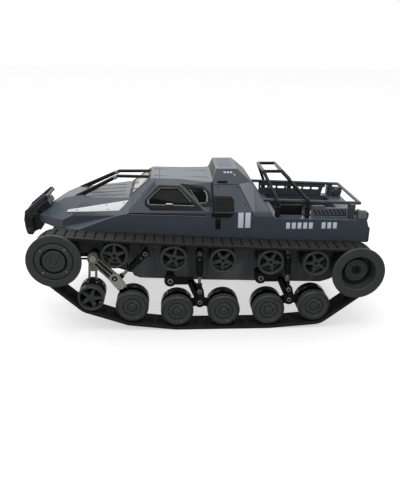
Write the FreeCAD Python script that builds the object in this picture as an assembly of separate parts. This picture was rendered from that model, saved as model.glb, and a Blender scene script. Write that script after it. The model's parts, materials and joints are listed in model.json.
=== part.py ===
import FreeCAD, Part
import math
import os

# Tracked chassis of a 1:12 radio-controlled vehicle. X points forward, Y to the left, Z up.
# The origin is on the ground, under the middle of the vehicle. Everything is in millimetres.
# The two sides are mirror images: the left running gear is made first and then mirrored.

os.makedirs("parts", exist_ok=True)
V = FreeCAD.Vector
ACROSS = V(0, 1, 0)
SIDES = {"left": 1, "right": -1}

# ---- driving dimensions: track belt -------------------------------------------------------
BELT_INNER = 67.0        # belt edge beside the hull, measured from the middle plane
BELT_OUTER = 99.0        # outer belt edge
BELT_SKIN = 1.9          # belt without its lugs
LUG_HEIGHT = 1.5
LUG_COUNT = 80
GROOVE_SHARE = 0.13      # part of one pitch that is groove
WHEEL_GAP = 0.3          # free play between the wheels and the belt
TOOTH_HEIGHT = 3.5       # guide teeth on the inside of the belt
TOOTH_INNER = 80.5
TOOTH_OUTER = 85.5
TOP_RUN_ENDS = (1.5, 4.6)    # slope of the sagging top run at its rear and front end, degrees

# ---- driving dimensions: wheels, as (x, z) centres and radii ------------------------------
BIG_RADIUS = 26.7        # drums of the front wheel and the drive wheel
FLANGE_RADIUS = 33.0
FLANGE_OUTER = 102.5
TENSION_RADIUS = 16.5
ROAD_RADIUS = 20.6
ROLLER_RADIUS = 16.3
FRONT_WHEEL = (177.0, 95.5)
DRIVE_WHEEL = (-193.0, 75.9)
TENSION_WHEEL = (136.5, 44.3)
ROAD_WHEELS = [(86.6, 30.9), (30.6, 24.3), (-27.9, 24.3), (-84.7, 24.3), (-142.6, 28.8)]
ROLLER_X = [105.5, 34.5, -25.3, -83.8, -139.9]
ROLLER_DROP = 0.4        # roller tops below the inside of the belt

# ---- driving dimensions: planes of the running gear, from the middle plane ----------------
TUB_SIDE = 62.0
FAR_DISC = (67.0, 78.5)      # wheel halves beside the hull
NEAR_DISC = (87.5, 96.5)     # wheel halves on the outside
BEAM_PLANE = (79.0, 83.0)    # beams and the tension arm
ARM_PLANE = (83.4, 87.2)     # arms
SHOCK_MIDDLE = 78.6
PIN_END = 88.6

# ---- driving dimensions: suspension, as (x, z) --------------------------------------------
FRONT_PIVOT = (133.0, 92.5)
FRONT_CLAMP = (103.7, 62.2)
BOGIE_PIVOTS = [(39.0, 62.0), (-74.1, 64.7)]
BOGIE_EYES = [(2.1, 46.7), (-110.3, 48.6)]
BEAM_PIVOTS = [(1.9, 32.1), (-111.9, 34.5)]
SHOCK_TOPS = [(69.3, 96.5), (2.3, 96.2), (-107.8, 98.0)]
SHOCK_EYES = [FRONT_CLAMP] + BOGIE_EYES
AXLE_RADIUS = 2.5
PIVOT_RADIUS = 3.0
STUB_RADIUS = 2.0
EYE_PIN_RADIUS = 1.6
RUNNING_FIT = 0.05       # radial clearance of a turning fit
OPEN_EYE_FIT = 0.6       # radial clearance of a shock's lower eye
SHOCK_RADIUS = 4.6
SHOCK_BODY_LENGTH = 31.0
ROD_RADIUS = 2.0
ROD_START = 20.5         # top of the rod, from the shock's upper eye

# ---- driving dimensions: body -------------------------------------------------------------
BODY_SIDE = 66.0
CREASE_HEIGHT = 144.5    # above this the sides lean inwards
LEAN = 0.66              # inward run for each unit of height
BODY_TOP = 192.1
ROOF_FRONT = (61.7, 180.0)
ROOF_REAR = (-12.0, 177.3)
WINDSCREEN_FOOT = (90.0, 157.4)
HOOD_FRONT = (148.0, 156.4)
DECK_FRONT = (-91.6, 136.2)
DECK_REAR = (-209.0, 132.2)
WALL = 2.0
TUB_WALL = 2.5
CAGE_TUBE = 2.1          # radius of the cage and rack tubes


# ---- helpers ------------------------------------------------------------------------------
def closed(points):
    return Part.Face(Part.makePolygon(points + [points[0]]))


def side_prism(outline, y_low, y_high):
    """A solid from an outline in side view (x, z), between two planes across."""
    face = closed([V(x, y_low, z) for x, z in outline])
    return face.extrude(V(0, y_high - y_low, 0))


def front_prism(outline, x_low, x_high):
    """A solid from an outline in front view (y, z)."""
    face = closed([V(x_low, y, z) for y, z in outline])
    return face.extrude(V(x_high - x_low, 0, 0))


def plan_prism(outline, z_low, z_high):
    """A solid from an outline seen from above (x, y)."""
    face = closed([V(x, y, z_low) for x, y in outline])
    return face.extrude(V(0, 0, z_high - z_low))


def disc(centre, radius, y_low, y_high):
    """A cylinder whose axis runs across the vehicle."""
    x, z = centre
    return Part.makeCylinder(radius, y_high - y_low, V(x, y_low, z), ACROSS)


def box(x_range, y_range, z_range):
    sizes = [high - low for low, high in (x_range, y_range, z_range)]
    return Part.makeBox(*sizes, V(x_range[0], y_range[0], z_range[0]))


def turned(centre, profile):
    """A turned part on an axle across the vehicle, from (radius, y) points."""
    x, z = centre
    face = closed([V(x + radius, y, z) for radius, y in profile])
    return face.revolve(V(x, 0, z), ACROSS, 360)


def along(start, end, distance):
    """The point at a distance from start, on the way to end."""
    length = math.dist(start, end)
    return tuple(s + (e - s) * distance / length for s, e in zip(start, end))


def strap(start, end, radius_start, radius_end, y_low, y_high):
    """A flat link with two round ends and straight flanks."""
    angle = math.atan2(end[1] - start[1], end[0] - start[0])
    lean = math.acos((radius_start - radius_end) / math.dist(start, end))
    corners = []
    for centre, radius, order in ((start, radius_start, (-1, 1)), (end, radius_end, (1, -1))):
        for side in order:
            turn = angle + side * lean
            corners.append((centre[0] + radius * math.cos(turn), centre[1] + radius * math.sin(turn)))
    web = side_prism(corners, y_low, y_high)
    ends = [disc(start, radius_start, y_low, y_high), disc(end, radius_end, y_low, y_high)]
    return web.multiFuse(ends).removeSplitter()


def tube_run(points, radius):
    """A bent tube through the given points, with ball corners."""
    pieces = []
    for start, end in zip(points, points[1:]):
        pieces.append(Part.makeCylinder(radius, (end - start).Length, start, end - start))
    pieces += [Part.makeSphere(radius, corner) for corner in points[1:-1]]
    return pieces[0].multiFuse(pieces[1:]) if len(pieces) > 1 else pieces[0]


def joined(first, others):
    return first.multiFuse(others).removeSplitter()


def inset(outline, distance):
    """An outline, listed anticlockwise, moved inwards by a distance."""
    moved = []
    count = len(outline)
    for i in range(count):
        before, here, after = outline[i - 1], outline[i], outline[(i + 1) % count]
        lines = []
        for a, b in ((before, here), (here, after)):
            length = math.dist(a, b)
            normal = (-(b[1] - a[1]) / length, (b[0] - a[0]) / length)
            lines.append((normal, normal[0] * a[0] + normal[1] * a[1] + distance))
        (n1, d1), (n2, d2) = lines
        spread = n1[0] * n2[1] - n1[1] * n2[0]
        moved.append(((d1 * n2[1] - d2 * n1[1]) / spread, (n1[0] * d2 - n2[0] * d1) / spread))
    return moved


def mirrored(shape, side):
    return shape if side > 0 else shape.mirror(V(0, 0, 0), ACROSS)


def save(name, solids):
    """Write one node. Solids are listed one by one, so that each piece stays separate."""
    pieces = []
    for shape in solids:
        pieces += shape.Solids
    node = pieces[0] if len(pieces) == 1 else Part.makeCompound(pieces)
    node.exportStep("parts/" + name + ".step")
    box_text = "x %.1f..%.1f y %.1f..%.1f z %.1f..%.1f" % (
        node.BoundBox.XMin, node.BoundBox.XMax, node.BoundBox.YMin, node.BoundBox.YMax,
        node.BoundBox.ZMin, node.BoundBox.ZMax)
    print(name, len(pieces), "solids", box_text, "valid", node.isValid())


def save_pair(name, solids):
    for side_name, side in SIDES.items():
        save(name + "_" + side_name, [mirrored(shape, side) for shape in solids])


# ---- path of the belt ---------------------------------------------------------------------
class BeltPath:
    """The inside line of the belt: straight runs, wheel arcs and a sagging top run."""

    def __init__(self):
        wheels = [(FRONT_WHEEL, BIG_RADIUS), (TENSION_WHEEL, TENSION_RADIUS)]
        wheels += [(centre, ROAD_RADIUS) for centre in ROAD_WHEELS]
        wheels += [(DRIVE_WHEEL, BIG_RADIUS)]
        wheels = [(centre, radius + WHEEL_GAP) for centre, radius in wheels]
        # Outward directions in degrees where the belt meets and leaves each wheel.
        leave = []
        for (c1, r1), (c2, r2) in zip(wheels, wheels[1:]):
            heading = math.atan2(c2[1] - c1[1], c2[0] - c1[0])
            leave.append(math.degrees(heading + math.acos((r1 - r2) / math.dist(c1, c2))))
        rear_end, front_end = TOP_RUN_ENDS
        meet = [90 + front_end] + leave
        leave = leave + [90 + rear_end]
        self.pieces = []
        for i, (centre, radius) in enumerate(wheels):
            sweep = (meet[i] - leave[i] + 90) % 360 - 90
            if sweep > 0.01:
                self.pieces.append(("arc", centre, radius, meet[i], -sweep))
            if i + 1 < len(wheels):
                start = self.on_circle(centre, radius, leave[i])
                end = self.on_circle(wheels[i + 1][0], wheels[i + 1][1], leave[i])
                self.pieces.append(("line", start, end))
        # The top run is one arc, centred far above the vehicle.
        start = self.on_circle(*wheels[-1], leave[-1])
        end = self.on_circle(*wheels[0], meet[0])
        turn = front_end - rear_end
        sag_radius = math.dist(start, end) / 2 / math.sin(math.radians(turn / 2))
        facing = math.degrees(math.atan2(end[1] - start[1], end[0] - start[0])) - turn / 2 + 90
        centre = self.on_circle(start, sag_radius, facing)
        self.pieces.append(("arc", centre, sag_radius, facing - 180, turn))
        self.length = sum(self.piece_length(piece) for piece in self.pieces)

    @staticmethod
    def on_circle(centre, radius, degrees):
        angle = math.radians(degrees)
        return (centre[0] + radius * math.cos(angle), centre[1] + radius * math.sin(angle))

    @staticmethod
    def piece_length(piece):
        if piece[0] == "line":
            return math.dist(piece[1], piece[2])
        return piece[2] * math.radians(abs(piece[4]))

    def point(self, distance, outward):
        """A point at a distance along the belt, and a distance outwards from its inside line."""
        distance = distance % self.length
        for piece in self.pieces:
            length = self.piece_length(piece)
            if distance <= length:
                break
            distance -= length
        share = distance / length
        if piece[0] == "line":
            (x1, z1), (x2, z2) = piece[1], piece[2]
            return (x1 + (x2 - x1) * share - outward * (z2 - z1) / length,
                    z1 + (z2 - z1) * share + outward * (x2 - x1) / length)
        _, centre, radius, start, sweep = piece
        grown = radius + outward if sweep < 0 else radius - outward
        return self.on_circle(centre, grown, start + sweep * share)

    def wire(self, y):
        """The inside line as a closed wire of lines and arcs."""
        edges = []
        for piece in self.pieces:
            if piece[0] == "line":
                (x1, z1), (x2, z2) = piece[1], piece[2]
                edges.append(Part.makeLine(V(x1, y, z1), V(x2, y, z2)))
                continue
            _, centre, radius, start, sweep = piece
            marks = [self.on_circle(centre, radius, start + sweep * share) for share in (0, 0.5, 1)]
            edges.append(Part.Arc(*[V(x, y, z) for x, z in marks]).toShape())
        return Part.Wire(Part.sortEdges(edges)[0])

    def height_above(self, x):
        """Height of the inside of the top run at x."""
        _, centre, radius, _, _ = self.pieces[-1]
        return centre[1] - math.sqrt(radius ** 2 - (x - centre[0]) ** 2)


PATH = BeltPath()
PITCH = PATH.length / LUG_COUNT
ROLLERS = [(x, PATH.height_above(x) - ROLLER_DROP - ROLLER_RADIUS) for x in ROLLER_X]


def track_belt():
    """Rubber belt with square lugs outside and one row of guide teeth inside."""
    groove = GROOVE_SHARE * PITCH
    low, high = BELT_SKIN, BELT_SKIN + LUG_HEIGHT
    outline = []
    for i in range(LUG_COUNT):
        start = i * PITCH
        steps = [(0, low), (groove, low), (groove, high), ((groove + PITCH) / 2, high), (PITCH, high)]
        outline += [PATH.point(start + run, out) for run, out in steps]
    width = V(0, BELT_OUTER - BELT_INNER, 0)
    inside = Part.Face(PATH.wire(BELT_INNER)).extrude(width)
    belt = side_prism(outline, BELT_INNER, BELT_OUTER).cut(inside)
    teeth = []
    root, tip = 0.28 * PITCH, 0.16 * PITCH
    for i in range(LUG_COUNT):
        middle = (i + 0.5) * PITCH
        marks = [(-root, 0.6), (-tip, -TOOTH_HEIGHT), (tip, -TOOTH_HEIGHT), (root, 0.6)]
        corners = [PATH.point(middle + run, out) for run, out in marks]
        teeth.append(side_prism(corners, TOOTH_INNER, TOOTH_OUTER))
    return belt.multiFuse(teeth)


# ---- wheels -------------------------------------------------------------------------------
def big_drum(inner_profile):
    """Drum with a groove for the guide teeth and an outer flange; the face is given."""
    groove_radius = BIG_RADIUS - TOOTH_HEIGHT - WHEEL_GAP - 0.2
    rim = BELT_OUTER + WHEEL_GAP
    return [(BIG_RADIUS, BELT_INNER), (BIG_RADIUS, TOOTH_INNER - 1), (groove_radius, TOOTH_INNER - 1),
            (groove_radius, TOOTH_OUTER + 1), (BIG_RADIUS, TOOTH_OUTER + 1), (BIG_RADIUS, rim),
            (FLANGE_RADIUS, rim), (FLANGE_RADIUS, FLANGE_OUTER - 0.7),
            (FLANGE_RADIUS - 0.7, FLANGE_OUTER)] + inner_profile


def front_wheel():
    face = FLANGE_OUTER
    bore = STUB_RADIUS * 2 + RUNNING_FIT
    front = [(23.4, face), (23.4, face - 1.2), (22.4, face - 1.2), (22.4, face), (16.2, face),
             (16.2, face - 5), (13.8, face - 5), (13.8, face - 0.5), (0, face - 0.5),
             (0, face - 4.5), (bore, face - 4.5), (bore, BELT_INNER), (8, BELT_INNER),
             (8, face - 9), (19.5, face - 9), (19.5, BELT_INNER)]
    return turned(FRONT_WHEEL, big_drum(front))


def drive_wheel():
    """Drive wheel with its shaft, which runs into the gearbox."""
    face = FLANGE_OUTER
    front = [(21.6, face), (20.2, face - 15), (13.0, face - 15), (13.0, face - 13), (3.5, face - 13),
             (3.5, face - 16.5), (0, face - 16.5), (0, 42), (PIVOT_RADIUS, 42),
             (PIVOT_RADIUS, BELT_INNER), (8, BELT_INNER), (8, face - 18), (19.5, face - 18),
             (19.5, BELT_INNER)]
    return turned(DRIVE_WHEEL, big_drum(front))


def road_wheel(centre):
    """Outer disc, inner disc and the axle that joins them through the arm."""
    inner, face = NEAR_DISC
    outer_disc = turned(centre, [
        (AXLE_RADIUS, inner), (ROAD_RADIUS, inner), (ROAD_RADIUS, face - 2.2), (18.2, face),
        (11.8, face), (11.8, face - 1.2), (10.6, face - 1.2), (10.6, face), (AXLE_RADIUS, face)])
    inner_disc = disc(centre, ROAD_RADIUS, *FAR_DISC).cut(disc(centre, AXLE_RADIUS, *FAR_DISC))
    axle = disc(centre, AXLE_RADIUS, FAR_DISC[0], face + 0.6)
    return [outer_disc, inner_disc, axle]


def spoked_disc(centre, radius, hub, y_low, y_high):
    """Ring, five spokes and a hub."""
    ring = disc(centre, radius, y_low, y_high).cut(disc(centre, radius - 3, y_low, y_high))
    x, z = centre
    arms = []
    for i in range(5):
        spoke = box((x - 1.6, x + 1.6), (y_low, y_high - 1.5), (z, z + radius - 2.5))
        spoke.rotate(V(x, 0, z), ACROSS, 72 * i)
        arms.append(spoke)
    return joined(ring, arms + [disc(centre, hub, y_low, y_high - 0.6)])


def tension_wheel():
    near = (NEAR_DISC[0], NEAR_DISC[1] + 1.5)
    bore = disc(TENSION_WHEEL, AXLE_RADIUS, FAR_DISC[0], near[1])
    outer = spoked_disc(TENSION_WHEEL, TENSION_RADIUS, 4.5, *near).cut(bore)
    inner = disc(TENSION_WHEEL, TENSION_RADIUS, *FAR_DISC).cut(bore)
    return [outer, inner, disc(TENSION_WHEEL, AXLE_RADIUS, FAR_DISC[0], near[1] - 0.6)]


def return_roller(centre):
    """Spoked outer disc and plain inner disc on one hub, turning on a fixed stub."""
    near = (NEAR_DISC[0], NEAR_DISC[1] + 2)
    outer = spoked_disc(centre, ROLLER_RADIUS, 4.5, *near)
    inner = disc(centre, ROLLER_RADIUS, *FAR_DISC)
    hub = disc(centre, 4.5, FAR_DISC[1] - 1, near[0] + 1)
    bore = disc(centre, STUB_RADIUS + RUNNING_FIT, FAR_DISC[0] - 1, near[1] - 2)
    return joined(outer, [inner, hub]).cut(bore)


# ---- suspension ---------------------------------------------------------------------------
def front_arm():
    """Arm from the front pivot down to the first road wheel, with the shock's lower pin."""
    axle = ROAD_WHEELS[0]
    knee = along(FRONT_CLAMP, axle, 10.5)
    upper = strap(FRONT_PIVOT, FRONT_CLAMP, 7.0, 6.5, *ARM_PLANE)
    clamp = strap(along(FRONT_CLAMP, FRONT_PIVOT, 4), knee, 8.4, 7.4, *ARM_PLANE)
    lower = strap(knee, axle, 4.5, 6.0, BEAM_PLANE[0], ARM_PLANE[1])
    pin = disc(FRONT_CLAMP, EYE_PIN_RADIUS, SHOCK_MIDDLE - 3, ARM_PLANE[0] + 1)
    bores = [disc(FRONT_PIVOT, PIVOT_RADIUS + RUNNING_FIT, *ARM_PLANE),
             disc(axle, AXLE_RADIUS + RUNNING_FIT, BEAM_PLANE[0], ARM_PLANE[1])]
    return joined(upper, [clamp, lower, pin]).cut(Part.makeCompound(bores))


def tension_arm():
    """Forked arm that carries the tension wheel; it turns on the front pivot too."""
    leg = strap(FRONT_PIVOT, TENSION_WHEEL, 7.0, 5.5, *BEAM_PLANE)
    boss = disc(TENSION_WHEEL, 5.5, BEAM_PLANE[0], ARM_PLANE[1])
    slot = strap(along(FRONT_PIVOT, TENSION_WHEEL, 15), along(FRONT_PIVOT, TENSION_WHEEL, 32),
                 2.2, 2.0, *BEAM_PLANE)
    bores = [disc(FRONT_PIVOT, PIVOT_RADIUS + RUNNING_FIT, *BEAM_PLANE), slot,
             disc(TENSION_WHEEL, AXLE_RADIUS + RUNNING_FIT, BEAM_PLANE[0], ARM_PLANE[1])]
    return joined(leg, [boss]).cut(Part.makeCompound(bores))


def bogie_arm(pivot, eye, beam_pivot):
    """Trailing arm: pivot boss, level neck, sloping leg and the end plate with two pins."""
    neck_end = (pivot[0] - 25, pivot[1] - 0.5)
    y_low, y_high = ARM_PLANE
    boss = disc(pivot, 7.5, BEAM_PLANE[0], y_high)
    neck = strap(pivot, neck_end, 5.5, 5.0, y_low, y_high)
    leg = strap(neck_end, beam_pivot, 4.6, 4.2, y_low, y_high)
    tail = strap(eye, beam_pivot, 5.2, 7.2, y_low, y_high)
    brace = strap(neck_end, eye, 3.4, 4.0, y_low, y_high)
    eye_pin = disc(eye, EYE_PIN_RADIUS, SHOCK_MIDDLE - 3, y_low + 1)
    beam_pin = disc(beam_pivot, PIVOT_RADIUS, BEAM_PLANE[0] - 0.3, y_low + 1)
    bore = disc(pivot, PIVOT_RADIUS + RUNNING_FIT, BEAM_PLANE[0], y_high)
    return joined(boss, [neck, leg, tail, brace, eye_pin, beam_pin]).cut(bore)


def bogie_beam(pivot, front_axle, rear_axle):
    """Rocking beam between two road wheels."""
    halves = [strap(pivot, axle, 7.0, 5.6, *BEAM_PLANE) for axle in (front_axle, rear_axle)]
    spacers = [disc(axle, 5.6, BEAM_PLANE[0], ARM_PLANE[1]) for axle in (front_axle, rear_axle)]
    bores = [disc(axle, AXLE_RADIUS + RUNNING_FIT, BEAM_PLANE[0], ARM_PLANE[1])
             for axle in (front_axle, rear_axle)]
    bores.append(disc(pivot, PIVOT_RADIUS + RUNNING_FIT, *BEAM_PLANE))
    return joined(halves[0], halves[1:] + spacers).cut(Part.makeCompound(bores))


def placed_shock(shape, top, eye):
    """Turn a shock part, made hanging straight down from the origin, onto its two eyes."""
    lean = math.degrees(math.atan2(top[0] - eye[0], top[1] - eye[1]))
    shape.rotate(V(0, 0, 0), ACROSS, lean)
    shape.translate(V(top[0], SHOCK_MIDDLE, top[1]))
    return shape


def down_cylinder(radius, top, bottom):
    return Part.makeCylinder(radius, top - bottom, V(0, 0, bottom))


def shock_body(top, eye):
    """Upper eye, flat bracket and oil cylinder."""
    ring = disc((0, 0), 4.8, -3.2, 3.2)
    bracket = box((-4.0, 4.0), (-3.2, 3.2), (-14, 0))
    cylinder = down_cylinder(SHOCK_RADIUS, -8, -SHOCK_BODY_LENGTH)
    bore = down_cylinder(ROD_RADIUS + RUNNING_FIT, -11.5, -SHOCK_BODY_LENGTH - 1)
    eye_bore = disc((0, 0), EYE_PIN_RADIUS + RUNNING_FIT, -4, 4)
    body = joined(ring, [bracket, cylinder]).cut(Part.makeCompound([bore, eye_bore]))
    return placed_shock(body, top, eye)


def shock_rod(top, eye):
    """Piston rod with its lower eye."""
    length = math.dist(top, eye)
    rod = down_cylinder(ROD_RADIUS, -ROD_START, -length + 3)
    collar = down_cylinder(3.4, -length + 8, -length + 3)
    ring = disc((0, -length), 4.4, -2.6, 2.6)
    eye_bore = disc((0, -length), EYE_PIN_RADIUS + OPEN_EYE_FIT, -4, 4)
    return placed_shock(joined(ring, [rod, collar]).cut(eye_bore), top, eye)


def fixed_axles():
    """Stubs and pivot pins that stand out from the sides of the tub."""
    start = TUB_SIDE
    pins = [disc(FRONT_WHEEL, STUB_RADIUS * 2, start, FLANGE_OUTER - 5)]
    pins += [disc(centre, STUB_RADIUS, start, NEAR_DISC[1] - 0.5) for centre in ROLLERS]
    pins += [disc(top, EYE_PIN_RADIUS, start, SHOCK_MIDDLE + 3.6) for top in SHOCK_TOPS]
    for pivot in [FRONT_PIVOT] + BOGIE_PIVOTS:
        shoulder = disc(pivot, 5.2, start, BEAM_PLANE[0] - 0.3)
        cap = disc(pivot, 4.6, ARM_PLANE[1] + 0.3, PIN_END)
        pins.append(joined(disc(pivot, PIVOT_RADIUS, start, PIN_END), [shoulder, cap]))
    return pins + [mirrored(pin, -1) for pin in pins]


# ---- hull ---------------------------------------------------------------------------------
TUB_PROFILE = [(188, 116), (97, 112), (-205, 100), (-205, 71), (-168.8, 51.3), (-157.2, 47.8),
               (-5.9, 52.4), (77.7, 56.3), (85.3, 59.5), (97, 86), (181, 86), (188, 91)]

# Anticlockwise in its own plane, starting under the nose.
SIDE_PROFILE = [(208, 122), (207.5, 128.5), (174.5, 150.3), (160, 155), HOOD_FRONT, (146, 154.3),
                WINDSCREEN_FOOT, ROOF_FRONT, (31, 179.3), ROOF_REAR, (-15, 179), (-19.6, BODY_TOP), (-46.1, BODY_TOP), (-64.6, 175.7),
                DECK_FRONT, DECK_REAR, (-212, 123), (-212, 80), (196, 80)]
TOP_HALF = BODY_SIDE - LEAN * (BODY_TOP + 4 - CREASE_HEIGHT)
FRONT_PROFILE = [(-BODY_SIDE, 80), (BODY_SIDE, 80), (BODY_SIDE, CREASE_HEIGHT),
                 (TOP_HALF, BODY_TOP + 4), (-TOP_HALF, BODY_TOP + 4), (-BODY_SIDE, CREASE_HEIGHT)]
PLAN_PROFILE = [(-213, -BODY_SIDE), (155, -BODY_SIDE), (208.5, -17), (208.5, 17),
                (155, BODY_SIDE), (-213, BODY_SIDE)]
RIM_CUT = [(-230, 103), (146, 114), (182, 117.5), (212, 119), (212, 60), (-230, 60)]

# Sloping faces of the left side, each as a point and an outward direction. The body has no
# material outside all the faces of one group.
HOOD_SIDE = ((160, 26, 154.2), (0.177, 0.533, 0.827))
PILLAR = ((88.4, 42, 157.6), (0.498, 0.4225, 0.757))
NOSE_CORNER = ((160.5, 26, 154), (0.492, 0.461, 0.738))
ROOF_EDGE = ((61.7, 33.3, 180), (0, 0.418, 0.909))
ROOF_FLARE = ((30, 33.3, 179.3), (0.064, 0.407, 0.911))
ROOF_END = ((-15, 0, 0), (1, 0, 0))
NOSE_WALL = ((105, 65, 140), (0.214, 0.977, 0))
FENDER_TOP = ((165.3, 52, 124), (0.324, 0.380, 0.866))
SLOPES = [(HOOD_SIDE, PILLAR), (NOSE_CORNER,), (ROOF_EDGE, ROOF_FLARE, ROOF_END),
          (NOSE_WALL, FENDER_TOP)]
SIDE_WINDOW = [(67.5, 154.5), (64.0, 148.8), (9.0, 150.2), (26.5, 171.8), (53.0, 171.8)]
QUARTER_WINDOW = [(16.5, 172.2), (-5.5, 169.8), (-11.0, 161.5), (-10.5, 151.5), (1.5, 151.5)]
WINDSCREEN_SHARE = (0.12, 0.86)      # glass from near the foot to near the roof
WINDSCREEN_HALVES = (37.0, 29.5)     # half widths of the glass at its foot and at the roof
GUARD_HALF = 21.0
BLADE = [(225.4, 132.6), (227.4, 122), (226.4, 110), (224.8, 103.6), (222.8, 102), (217.6, 101.7),
         (215.7, 108.4), (216.7, 119.3), (216.5, 128), (222.4, 130.4)]
GUARD_ARM = [(216.4, 125.5), (225.6, 126), (225.4, 132.6), (196.6, 155.4), (193.2, 151.2), (216.2, 132.6)]
GUARD_TUBES = [(222.6, 130.6), (209.4, 140.9), (196.2, 151.9)]
LAMP_BAR = [(213.4, 131.6), (209.6, 136.8), (196.4, 146.4), (193, 140), (203, 131.4)]
GUARD_BRACKET = [(218.4, 103.6), (209, 107.5), (203, 114), (205, 129), (217.2, 128)]
BED_WELL = ((-187.0, -97.0), (-50.0, 50.0), 122.0)
TRAY_WALL = 1.5
TAIL_PROFILE = [(-197, 130), (-197, 144.2), (-209, 143.2), (-211.2, 141), (-211.2, 136.5), (-209.5, 130)]


def tub():
    """Lower hull: a tray with sloping ends, open at the top, with shaft holes."""
    outer = side_prism(TUB_PROFILE, -TUB_SIDE, TUB_SIDE)
    anticlockwise = inset(TUB_PROFILE, TUB_WALL)
    hollow = side_prism(anticlockwise, -TUB_SIDE + TUB_WALL, TUB_SIDE - TUB_WALL)
    lid = side_prism([(185.5, 105), (97, 105), (-202.5, 93), (-202.5, 110), (97, 125), (185.5, 125)],
                     -TUB_SIDE + TUB_WALL, TUB_SIDE - TUB_WALL)
    shaft_hole = disc(DRIVE_WHEEL, PIVOT_RADIUS + 0.1, -TUB_SIDE, TUB_SIDE)
    ribs = []
    for x in (60, 15, -10, -60, -95, -125, -160):
        for side in SIDES.values():
            face = side * TUB_SIDE
            ribs.append(box((x - 1.2, x + 1.2), sorted((face, face + side * 1.5)), (60, 96)))
    return [joined(outer, ribs).cut(Part.makeCompound([hollow, lid, shaft_hole]))]


def beyond(slope, depth):
    """Everything outside a sloping face that has been moved inwards by a depth."""
    point, direction = V(*slope[0]), V(*slope[1])
    direction.normalize()
    return Part.makeCylinder(500, 500, point - direction * depth, direction)


def hull(depth):
    """The upper body as one solid, with every face moved inwards by a depth."""
    side = side_prism(inset(SIDE_PROFILE, depth), -80, 80)
    front = front_prism(inset(FRONT_PROFILE, depth), -230, 230)
    plan = plan_prism(inset(PLAN_PROFILE, depth), 60, 220)
    body = side.common(front).common(plan)
    for group in SLOPES:
        outside = beyond(group[0], depth)
        for slope in group[1:]:
            outside = outside.common(beyond(slope, depth))
        body = body.cut(outside).cut(mirrored(outside, -1))
    return body


def windscreen_cutter():
    """A block through the windscreen, narrower at the roof than at the hood."""
    foot, roof = WINDSCREEN_FOOT, ROOF_FRONT
    low, high = [tuple(f + (r - f) * share for f, r in zip(foot, roof)) for share in WINDSCREEN_SHARE]
    band = side_prism([(low[0] - 8, low[1] - 6), (low[0] + 6, low[1] + 7), (high[0] + 6, high[1] + 7),
                       (high[0] - 8, high[1] - 6)], -80, 80)
    foot_half, roof_half = WINDSCREEN_HALVES
    return band.common(front_prism([(-foot_half, low[1]), (foot_half, low[1]), (roof_half, high[1]),
                                    (-roof_half, high[1])], 0, 130))


def window_cutters():
    holes = [side_prism(outline, 30, 80) for outline in (SIDE_WINDOW, QUARTER_WINDOW)]
    return holes + [mirrored(hole, -1) for hole in holes] + [windscreen_cutter()]


def deck_height(x):
    (x1, z1), (x2, z2) = DECK_FRONT, DECK_REAR
    return z1 + (z2 - z1) * (x - x1) / (x2 - x1)


def body_shell():
    """One-piece upper shell, open below, with window openings and a well in the deck."""
    shell = hull(0).cut(hull(WALL))
    rim = side_prism(RIM_CUT, -80, 80)
    x_range, y_range, floor = BED_WELL
    well = box(x_range, y_range, (floor, 145))
    shell = shell.cut(Part.makeCompound([rim, well] + window_cutters()))
    tray = box(x_range, y_range, (floor, deck_height(x_range[0])))
    inside = [(low + TRAY_WALL, high - TRAY_WALL) for low, high in (x_range, y_range)]
    tray = tray.cut(box(*inside, (floor + TRAY_WALL, 150)))
    tread_box = box((-185, -143), (22, 48), (floor + TRAY_WALL, 133))
    tails = []
    for side in SIDES.values():
        tail = side_prism(TAIL_PROFILE, *sorted((side * 56, side * 63))).cut(hull(0))
        tails.append(tail)
    vents = []
    for side in SIDES.values():
        outline = [(-15.5, 162), (-39, 160), (-39, 144), (-33, 137), (-15.5, 138)]
        slab = side_prism(outline, *sorted((side * 40, side * 80)))
        vents.append(slab.common(hull(-1.2)).cut(hull(0)))
    return [shell, tray, tread_box] + tails + vents


def cab_windows():
    """Panes sunk a little into their openings."""
    sheet = hull(0.4).cut(hull(1.8))
    return [sheet.common(cutter) for cutter in window_cutters()]


# ---- outside fittings ---------------------------------------------------------------------
def front_bumper():
    """Guard on the nose: a short blade, two sloping arms, cross tubes, slats and a lamp bar."""
    blade = side_prism(BLADE, -GUARD_HALF, GUARD_HALF)
    pieces = [side_prism(LAMP_BAR, -15, 15)]
    for side in SIDES.values():
        near, far = side * (GUARD_HALF - 2), side * (GUARD_HALF + 1.5)
        pieces.append(side_prism(GUARD_ARM, *sorted((near, far))))
        pieces.append(side_prism(GUARD_BRACKET, side * 13 - 3, side * 13 + 3))
    for x, z in GUARD_TUBES:
        pieces.append(Part.makeCylinder(2.2, 2 * GUARD_HALF, V(x, -GUARD_HALF, z), ACROSS))
    for y in (-12.6, -4.2, 4.2, 12.6):
        pieces.append(tube_run([V(x, y, z) for x, z in GUARD_TUBES], 1.3))
        pieces.append(tube_run([V(204, y, 139), V(GUARD_TUBES[1][0], y, GUARD_TUBES[1][1])], 1.6))
    return joined(blade, pieces).cut(hull(0))


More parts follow.
